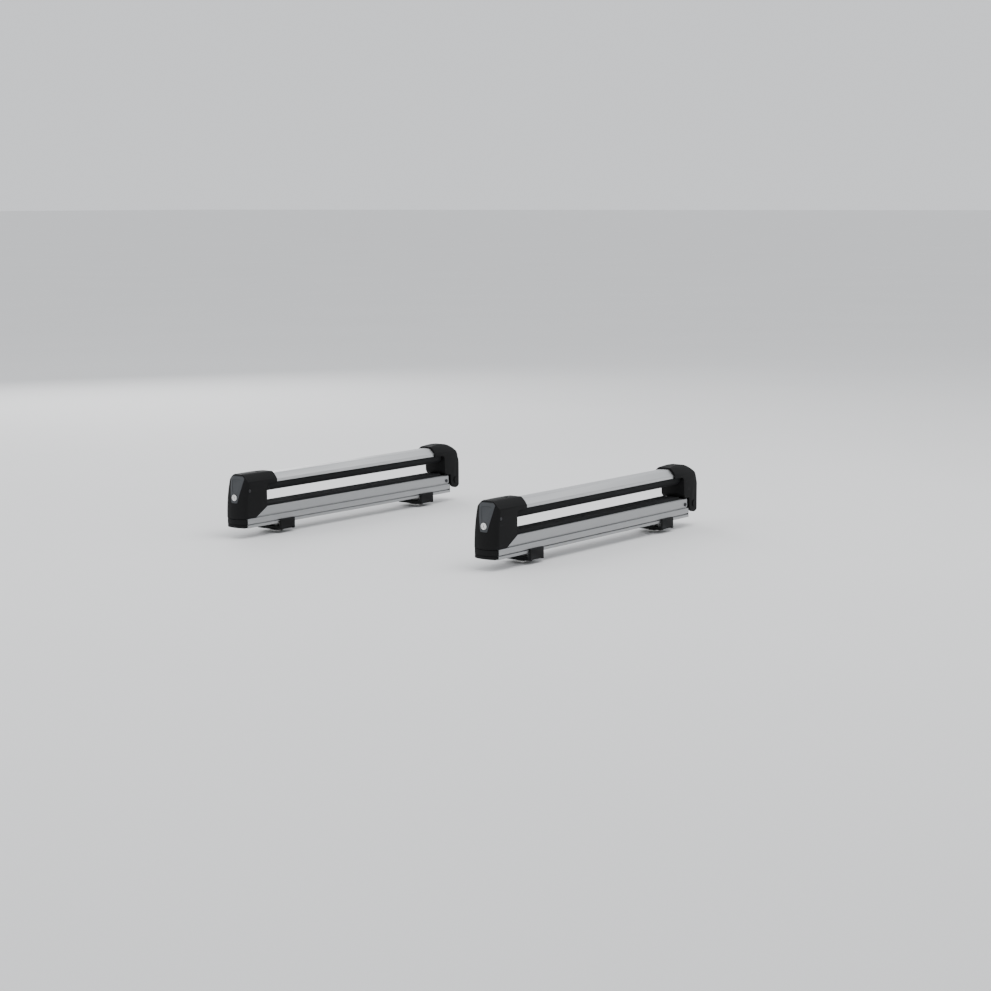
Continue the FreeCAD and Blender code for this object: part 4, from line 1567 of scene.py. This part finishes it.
@dataclass
class LowerRail:
    """Grooved rail, its ribbed rubber, end cap and striker."""

    sizes: Carrier
    pad_start: float = 70.0
    pad_end: float = 645.0
    pad_top: float = 25.5
    groove_floor: float = 23.9
    undercut: float = 2.0

    def extrusion(self) -> Solid:
        """Rail with side grooves, a step under the skirt and a channel for the rubber.

        Returns:
            The finished solid.
        """
        c = self.sizes
        w, u, g = c.half_width, c.rail_upper_half, c.groove_z
        right: Outline = [
            (0, c.rail_bottom), (w - 1.5, c.rail_bottom),
            Arc((w - 0.4, c.rail_bottom + 0.4), (w, c.rail_bottom + 1.5)), (w, g - 1.5), (w - 0.3, g - 1.2),
            (self.groove_floor, g - 1.2), (self.groove_floor, g + 1.2), (w - 0.3, g + 1.2), (w, g + 1.5),
            (w, -0.6), Arc((w - 0.2, -0.2), (w - 0.6, 0)), (u + 0.3, 0), (u - self.undercut, 0.6),
            (u - self.undercut, 2.2), (u, 3.0), (u - 0.5, c.rail_top - 2.5),
            Arc((u - 1.1, c.rail_top - 0.7), (u - 3, c.rail_top)), (0, c.rail_top)
        ]
        body = Solid.prism(mirrored(right, 6), Axis.ALONG, c.rail_start, c.rail_end)
        inner = u - 2.7
        chambers = [
            Solid.box((0, -inner, c.rail_bottom + 2.2), (720, inner, -8)),
            Solid.box((0, -inner, -6), (720, inner, c.rail_top - 5.2)),
            Solid.prism([(-17, 17), (17, 17), (15, 20.5), (-15, 20.5)], Axis.ALONG, self.pad_start, 720)
        ]
        return body.cut(*chambers)

    def strip(self) -> Solid:
        """Rubber strip with rounded ribs along it.

        Returns:
            The finished solid.
        """
        top = self.sizes.rail_top
        half: list[Point | Arc] = [
            (0, top - 2.9), (16.9, top - 2.9), (14.9, top), (20, top), (20, top + 2.6), (19.4, top + 3)
        ]
        for centre in (16, 8):
            half += [(centre + 3.0, top + 3), Arc((centre, self.pad_top), (centre - 3.0, top + 3))]
        half += [(3.0, top + 3), Arc((2.0, self.pad_top - 0.7), (0, self.pad_top))]
        return Solid.prism(mirrored(half, 8), Axis.ALONG, self.pad_start, self.pad_end)

    def end_cap(self) -> Solid:
        """Two bowed tiers with a dark line between them.

        Returns:
            The finished solid.
        """
        c = self.sizes
        whole = Solid()
        tiers = ((c.groove_z - 0.4, -0.4, 0.8, 0.0), (c.rail_bottom, c.groove_z - 1.6, 1.3, 4.0))
        for low, high, inset, corner in tiers:
            half = c.half_width - inset
            tier = Solid.prism(
                c.barrel(c.near_face + inset, half, 9.0 - inset, [(20, half)]), Axis.UP, low, high
            )
            tier.keep(Solid.box((-10, -40, -40), (c.rail_start, 40, 10)))
            if corner:
                foot = mirrored(
                    [
                        (0, low), (half - corner, low), Arc((half - 1.2, low + 1.2), (half, low + corner)),
                        (half, 0), (0, 0)
                    ]
                )
                tier.keep(Solid.prism(foot, Axis.ALONG, -10, 20))
            else:
                tier.reshape(self.top_curve)
            whole.beside(tier.rounded(0.6, 3, angle=40))
        core = c.barrel(c.near_face + 3, c.half_width - 3, 6.0, [(20, c.half_width - 3)])
        core_solid = Solid.prism(core, Axis.UP, c.rail_bottom + 1, -1.8).keep(
            Solid.box((-10, -40, -40), (c.rail_start, 40, 10))
        )
        upper = Solid.box(
            (6.6, -c.rail_upper_half + 2.5, -2), (c.rail_start, c.rail_upper_half - 2.5, c.rail_top - 1)
        ).rounded(0.6, 2)
        return whole.beside(core_solid, upper)

    def top_curve(self, place: Vector) -> Vector:
        """Follow the housing's foot with the top edge of the cap.

        Args:
            place: a vertex of the upper tier.

        Returns:
            Its new place.
        """
        if place.z < -1 or place.x > self.sizes.rail_start + 0.1:
            return place
        return self.sizes.dipped(place)

    def striker(self) -> Solid:
        """Plate, posts and cross bar of the latch keeper.

        Returns:
            The finished solid.
        """
        c = self.sizes
        top = c.rail_top + 2.0
        x, z, r, reach = 30.0, 34.0, 3.0, 18.0
        plate = Solid.box((24, -21, c.rail_top), (45, 21, top)).rounded(0.5, 2)
        bar = Solid.rod((x, -reach, z), (x, reach, z), r)
        for y in (-reach, reach):
            ball = Solid()
            bmesh.ops.create_uvsphere(ball.bm, u_segments=24, v_segments=12, radius=r)
            bmesh.ops.translate(ball.bm, vec=(x, y, z), verts=ball.bm.verts)
            bar.beside(Solid.rod((x, y, top - 0.5), (x, y, z), r), ball)
        return plate.beside(bar)

    def striker_screws(self) -> Solid:
        """Screws that hold the striker's plate.

        Returns:
            Both screws.
        """
        whole = Solid()
        for y in (-11.0, 11.0):
            whole.beside(socket_screw((39.0, y, self.sizes.rail_top + 2.0), (0, 0, 1), 2.0, 3.8, 2.2, 9.0))
        return whole

    def pieces(self, side: str) -> list[Piece]:
        """Every piece of the rail for one carrier.

        Args:
            side: front or rear, unused because all of these belong to the base.

        Returns:
            The pieces.
        """
        return [
            Piece("rail_extrusion", Slot.RAIL_ALUMINIUM, "base", "lower_rail", self.extrusion()),
            Piece("rail_rubber", Slot.RUBBER, "base", "lower_pad", self.strip()),
            Piece("rail_end_cap", Slot.BLACK_PLASTIC, "base", "near_end_cap", self.end_cap()),
            Piece("latch_striker", Slot.STEEL, "base", "striker", self.striker()),
            Piece("striker_fasteners", Slot.STEEL, "base", "striker_screws", self.striker_screws(), True),
        ]


@dataclass
class BarMount:
    """Brackets, pads and T-bolts that hold a carrier on its load bar."""

    sizes: Carrier
    centres: tuple[float, float] = (121.5, 579.5)
    half: float = 24.5
    wide: float = 33.6
    lip: float = 3.5
    head: float = 4.0
    web: float = 6.5
    pad: float = 3.0
    hole: float = 4.3

    def bracket(self, centre: float) -> Solid:
        """Channel with feet at its corners and hooks in the rail's grooves.

        Args:
            centre: x of the bracket's middle.

        Returns:
            The finished solid.
        """
        c = self.sizes
        left, right = centre - self.half, centre + self.half
        top = c.groove_z + 0.8
        wide, bottom = self.wide, c.bar_top
        plan = mirror_plan([(left, wide - 4), (left + 4, wide), (right - 4, wide), (right, wide - 4)], 4)
        body = Solid.prism(plan, Axis.UP, bottom, top)
        body.keep(
            Solid.prism(
                [(left, bottom), (right, bottom), (right, top), (left + 6, top), (left, top - 5)],
                Axis.ACROSS, -wide - 1, wide + 1
            )
        )
        inner = wide - 3.0
        tools = [Solid.box((left - 1, -inner, bottom + self.web), (right + 1, inner, c.groove_z - 0.8)),
                 Solid.box((left - 1, -25.6, bottom + self.web), (right + 1, 25.6, top + 1)),
                 Solid.box((left + 8, -wide - 1, bottom - 1), (right - 8, wide + 1, bottom + 3)),
                 Solid.rod((centre, 0, bottom - 1), (centre, 0, 0), self.hole)]
        return body.cut(*tools).rounded(0.7, 3, angle=36)

    def pads(self) -> Solid:
        """Rubber pads between the brackets' feet.

        Returns:
            Both pads.
        """
        bottom = self.sizes.bar_top
        whole = Solid()
        for centre in self.centres:
            pad = Solid.box(
                (centre - 16, -self.wide + 4, bottom), (centre + 16, self.wide - 4, bottom + self.pad)
            )
            whole.beside(
                pad.cut(Solid.rod((centre, 0, bottom - 1), (centre, 0, 0), self.hole)).rounded(0.5, 2)
            )
        return whole

    def t_bolts(self) -> Solid:
        """T-bolts: flat heads for the bar's slot, threaded shanks.

        Returns:
            Both bolts.
        """
        c = self.sizes
        whole = Solid()
        under = c.bar_top - self.lip
        for centre in self.centres:
            head = Solid.box(
                (centre - 12, -9.5, under - self.head), (centre + 12, 9.5, under)
            ).rounded(0.8, 2)
            shank = thread(
                (centre, 0, under - 0.5), (0, 0, 1), 4.0, c.rail_bottom - 1.0 - under + 0.5, 1.25
            )
            whole.beside(head, shank)
        return whole

    def nuts(self) -> Solid:
        """Flanged hexagon nuts.

        Returns:
            Both nuts.
        """
        whole = Solid()
        seat = self.sizes.bar_top + self.web
        for centre in self.centres:
            flange = Solid.turned(
                [(4.0, 0), (9.0, 0), (9.0, 0.6), (7.0, 1.4), (4.0, 1.4)], (centre, 0, seat), (0, 0, 1)
            )
            ring = [
                (centre + 7.5 * math.cos(math.tau * step / 6), 7.5 * math.sin(math.tau * step / 6))
                for step in range(6)
            ]
            hexagon = Solid.prism(ring, Axis.UP, seat + 0.8, seat + 6.0)
            crown = Solid.turned(
                [(0, -1), (8.2, -1), (8.2, 4.2), (6.8, 5.2), (0, 5.2)], (centre, 0, seat + 0.8), (0, 0, 1)
            )
            hexagon.keep(crown).cut(Solid.rod((centre, 0, seat - 1), (centre, 0, seat + 9), 4.0))
            whole.beside(flange, hexagon)
        return whole

    def pieces(self, side: str) -> list[Piece]:
        """Every piece of the bar mount for one carrier.

        Args:
            side: front or rear, unused because all of these belong to the base.

        Returns:
            The pieces.
        """
        near, far = self.centres
        return [
            Piece("near_foot", Slot.BRACKET_BLACK, "base", "near_bracket", self.bracket(near)),
            Piece("far_foot", Slot.BRACKET_BLACK, "base", "far_bracket", self.bracket(far)),
            Piece("foot_pads", Slot.RUBBER, "base", "bar_pads", self.pads(), True),
            Piece("slot_bolts", Slot.STEEL, "base", "t_bolts", self.t_bolts(), True),
            Piece("slot_nuts", Slot.STEEL, "base", "t_bolt_nuts", self.nuts(), True),
        ]


def thread(
    start: Sequence[float], direction: Sequence[float], radius: float, length: float, pitch: float
) -> Solid:
    """Threaded rod, as rings of V-shaped threads.

    Args:
        start: foot of the rod.
        direction: direction of the rod.
        radius: outer radius.
        length: length of the rod.
        pitch: distance between threads.

    Returns:
        The threaded rod.
    """
    depth = pitch * 0.5
    profile: list[Point] = [(0, 0), (radius - depth, 0)]
    turns = int((length - pitch) / pitch)
    for turn in range(turns):
        height = pitch * (turn + 0.5)
        profile += [
            (radius - depth, height), (radius, height + pitch * 0.45), (radius, height + pitch * 0.55)
        ]
    profile += [(radius - depth, pitch * (turns + 0.5)), (radius - depth, length), (0, length)]
    return Solid.turned(profile, start, direction, 32)


@dataclass
class Springs:
    """Round-wire springs inside the housing."""

    sizes: Carrier
    wire: float = 0.5

    def coil(self, radius: float, turns: float, start: Sequence[float], along: Sequence[float]) -> Solid:
        """Helical spring as a tube along a helix.

        Args:
            radius: mean radius.
            turns: number of turns.
            start: where the axis starts.
            along: the axis, with the spring's length.

        Returns:
            The spring.
        """
        axis = Vector(along)
        curve = bpy.data.curves.new("coil", "CURVE")
        curve.dimensions = "3D"
        curve.bevel_depth = self.wire
        curve.bevel_resolution = 3
        curve.use_fill_caps = True
        steps = int(turns * 20)
        spline = curve.splines.new("POLY")
        spline.points.add(steps)
        for step, point in enumerate(spline.points):
            angle = math.tau * turns * step / steps
            point.co = (radius * math.cos(angle), radius * math.sin(angle), axis.length * step / steps, 1.0)
        holder = bpy.data.objects.new("coil", curve)
        bpy.context.scene.collection.objects.link(holder)
        mesh = bpy.data.meshes.new_from_object(holder.evaluated_get(bpy.context.evaluated_depsgraph_get()))
        solid = Solid()
        solid.bm.from_mesh(mesh)
        bpy.data.objects.remove(holder)
        turn = Vector((0, 0, 1)).rotation_difference(axis).to_matrix().to_4x4()
        bmesh.ops.transform(solid.bm, matrix=Matrix.Translation(Vector(start)) @ turn, verts=solid.bm.verts)
        return solid

    def pieces(self, side: str) -> list[Piece]:
        """Both springs of one carrier.

        Args:
            side: front or rear.

        Returns:
            The pieces.
        """
        c = self.sizes
        button = self.coil(3.4, 9, (14.6, 0, c.plunger_z), (c.arm_start - 2 - 15.6, 0, 0))
        pawl = self.coil(3.6, 5, (c.pivot_x, -9, c.pivot_z), (0, 7, 0))
        arm = f"arm_{side}"
        return [
            Piece("return_spring", Slot.STEEL, arm, "button_spring", button),
            Piece("torsion_spring", Slot.STEEL, arm, "pawl_spring", pawl),
        ]


# ---------------------------------------------------------------- studio
@dataclass(frozen=True)
class Studio:
    """Plain pale floor, soft light and the camera."""

    lens_mm: float = 75.9
    sensor_mm: float = 36.0
    camera_place: tuple[float, float, float] = (-3.37919, -2.63146, 0.67844)
    heading_deg: float = 52.93
    dip_deg: float = 8.036
    roll_deg: float = -0.15

    def floor(self) -> None:
        """Pale floor level with the base of the T-bolts."""
        bm = bmesh.new()
        bmesh.ops.create_grid(bm, x_segments=1, y_segments=1, size=120.0)
        mesh = bpy.data.meshes.new("floor")
        bm.to_mesh(mesh)
        bm.free()
        floor = bpy.data.objects.new("floor", mesh)
        graph = Graph("floor_paint")
        cloud = graph.noise(900.0, 2.0)
        colour = graph.blend((0.80, 0.80, 0.80), (0.84, 0.84, 0.84), cloud)
        mesh.materials.append(
            graph.finish({"Base Color": colour}, {"Roughness": 0.75, "Specular IOR Level": 0.2})
        )
        bpy.context.scene.collection.objects.link(floor)

    def light(self, name: str, place: Sequence[float], size: float, power: float) -> None:
        """Soft square light that faces the carriers.

        Args:
            name: the light's name.
            place: where it stands, in metres.
            size: side of the square, in metres.
            power: its power in watts.
        """
        data = bpy.data.lights.new(name, "AREA")
        data.shape = "SQUARE"
        data.size = size
        data.energy = power
        lamp = bpy.data.objects.new(name, data)
        lamp.location = place
        lamp.rotation_euler = (Vector((0, 0, 0.08)) - Vector(place)).to_track_quat("-Z", "Y").to_euler()
        bpy.context.scene.collection.objects.link(lamp)

    def lights(self) -> None:
        """Overhead key, side fill and pale surroundings."""
        self.light("key", (0.4, -1.2, 3.4), 2.4, 70.0)
        self.light("fill", (-3.0, 1.6, 1.9), 2.0, 22.0)
        self.light("rim", (1.6, 3.0, 1.6), 2.0, 40.0)
        world = bpy.data.worlds.new("surroundings")
        world.use_nodes = True
        world.node_tree.nodes["Background"].inputs["Color"].default_value = (0.95, 0.97, 1.0, 1.0)
        world.node_tree.nodes["Background"].inputs["Strength"].default_value = 1.0
        bpy.context.scene.world = world

    def camera(self) -> None:
        """Camera low over the roof, looking across the near ends."""
        data = bpy.data.cameras.new("camera")
        data.lens = self.lens_mm
        data.sensor_width = self.sensor_mm
        data.clip_start = 0.05
        camera = bpy.data.objects.new("camera", data)
        heading, dip = math.radians(self.heading_deg), math.radians(self.dip_deg)
        ahead = Vector(
            (math.sin(heading) * math.cos(dip), math.cos(heading) * math.cos(dip), -math.sin(dip))
        )
        level = ahead.to_track_quat("-Z", "Y").to_matrix().to_4x4()
        camera.matrix_world = Matrix.Translation(self.camera_place) @ level @ Matrix.Rotation(
            math.radians(self.roll_deg), 4, "Z"
        )
        bpy.context.scene.collection.objects.link(camera)
        bpy.context.scene.camera = camera

    def build(self) -> None:
        """Make everything that isn't the object."""
        self.floor()
        self.lights()
        self.camera()


# ---------------------------------------------------------------- assembly
def datum_of(side: str, sizes: Carrier) -> Datum:
    """Find one carrier's own origin from its packed rail.

    Args:
        side: front or rear.
        sizes: the carrier's sizes.

    Returns:
        The carrier's datum.
    """
    rail_low, rail_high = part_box(f"lower_rail_{side}")
    x = rail_low.x - sizes.rail_start * MM
    y = (rail_low.y + rail_high.y) / 2
    z = rail_high.z - sizes.rail_top * MM
    return Datum(side, Vector((x, y, z)))


def main() -> None:
    """Build the studio and both carriers."""
    logging.basicConfig(level=logging.INFO, format="%(name)s: %(message)s")
    Studio().build()
    palette = Palette()
    palette.dress_nodes(frame["record"])
    sizes = Carrier()
    assemblies = [
        NearHousing(sizes), UpperArm(sizes), HingeEnd(sizes), LowerRail(sizes), BarMount(sizes),
        Springs(sizes)
    ]
    parts = [piece for assembly in assemblies for piece in assembly.pieces("front")]
    for side in ("front", "rear"):
        datum = datum_of(side, sizes)
        for part in parts:
            made = part.solid.piece(part.name, datum, palette.made[part.slot])
            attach(made, part.body.replace("front", side))
            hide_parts(part.replaced if part.shared else f"{part.replaced}_{side}")
            log.info("%s: %d faces", made.name, len(made.data.polygons))


if __name__ == "__main__":
    main()
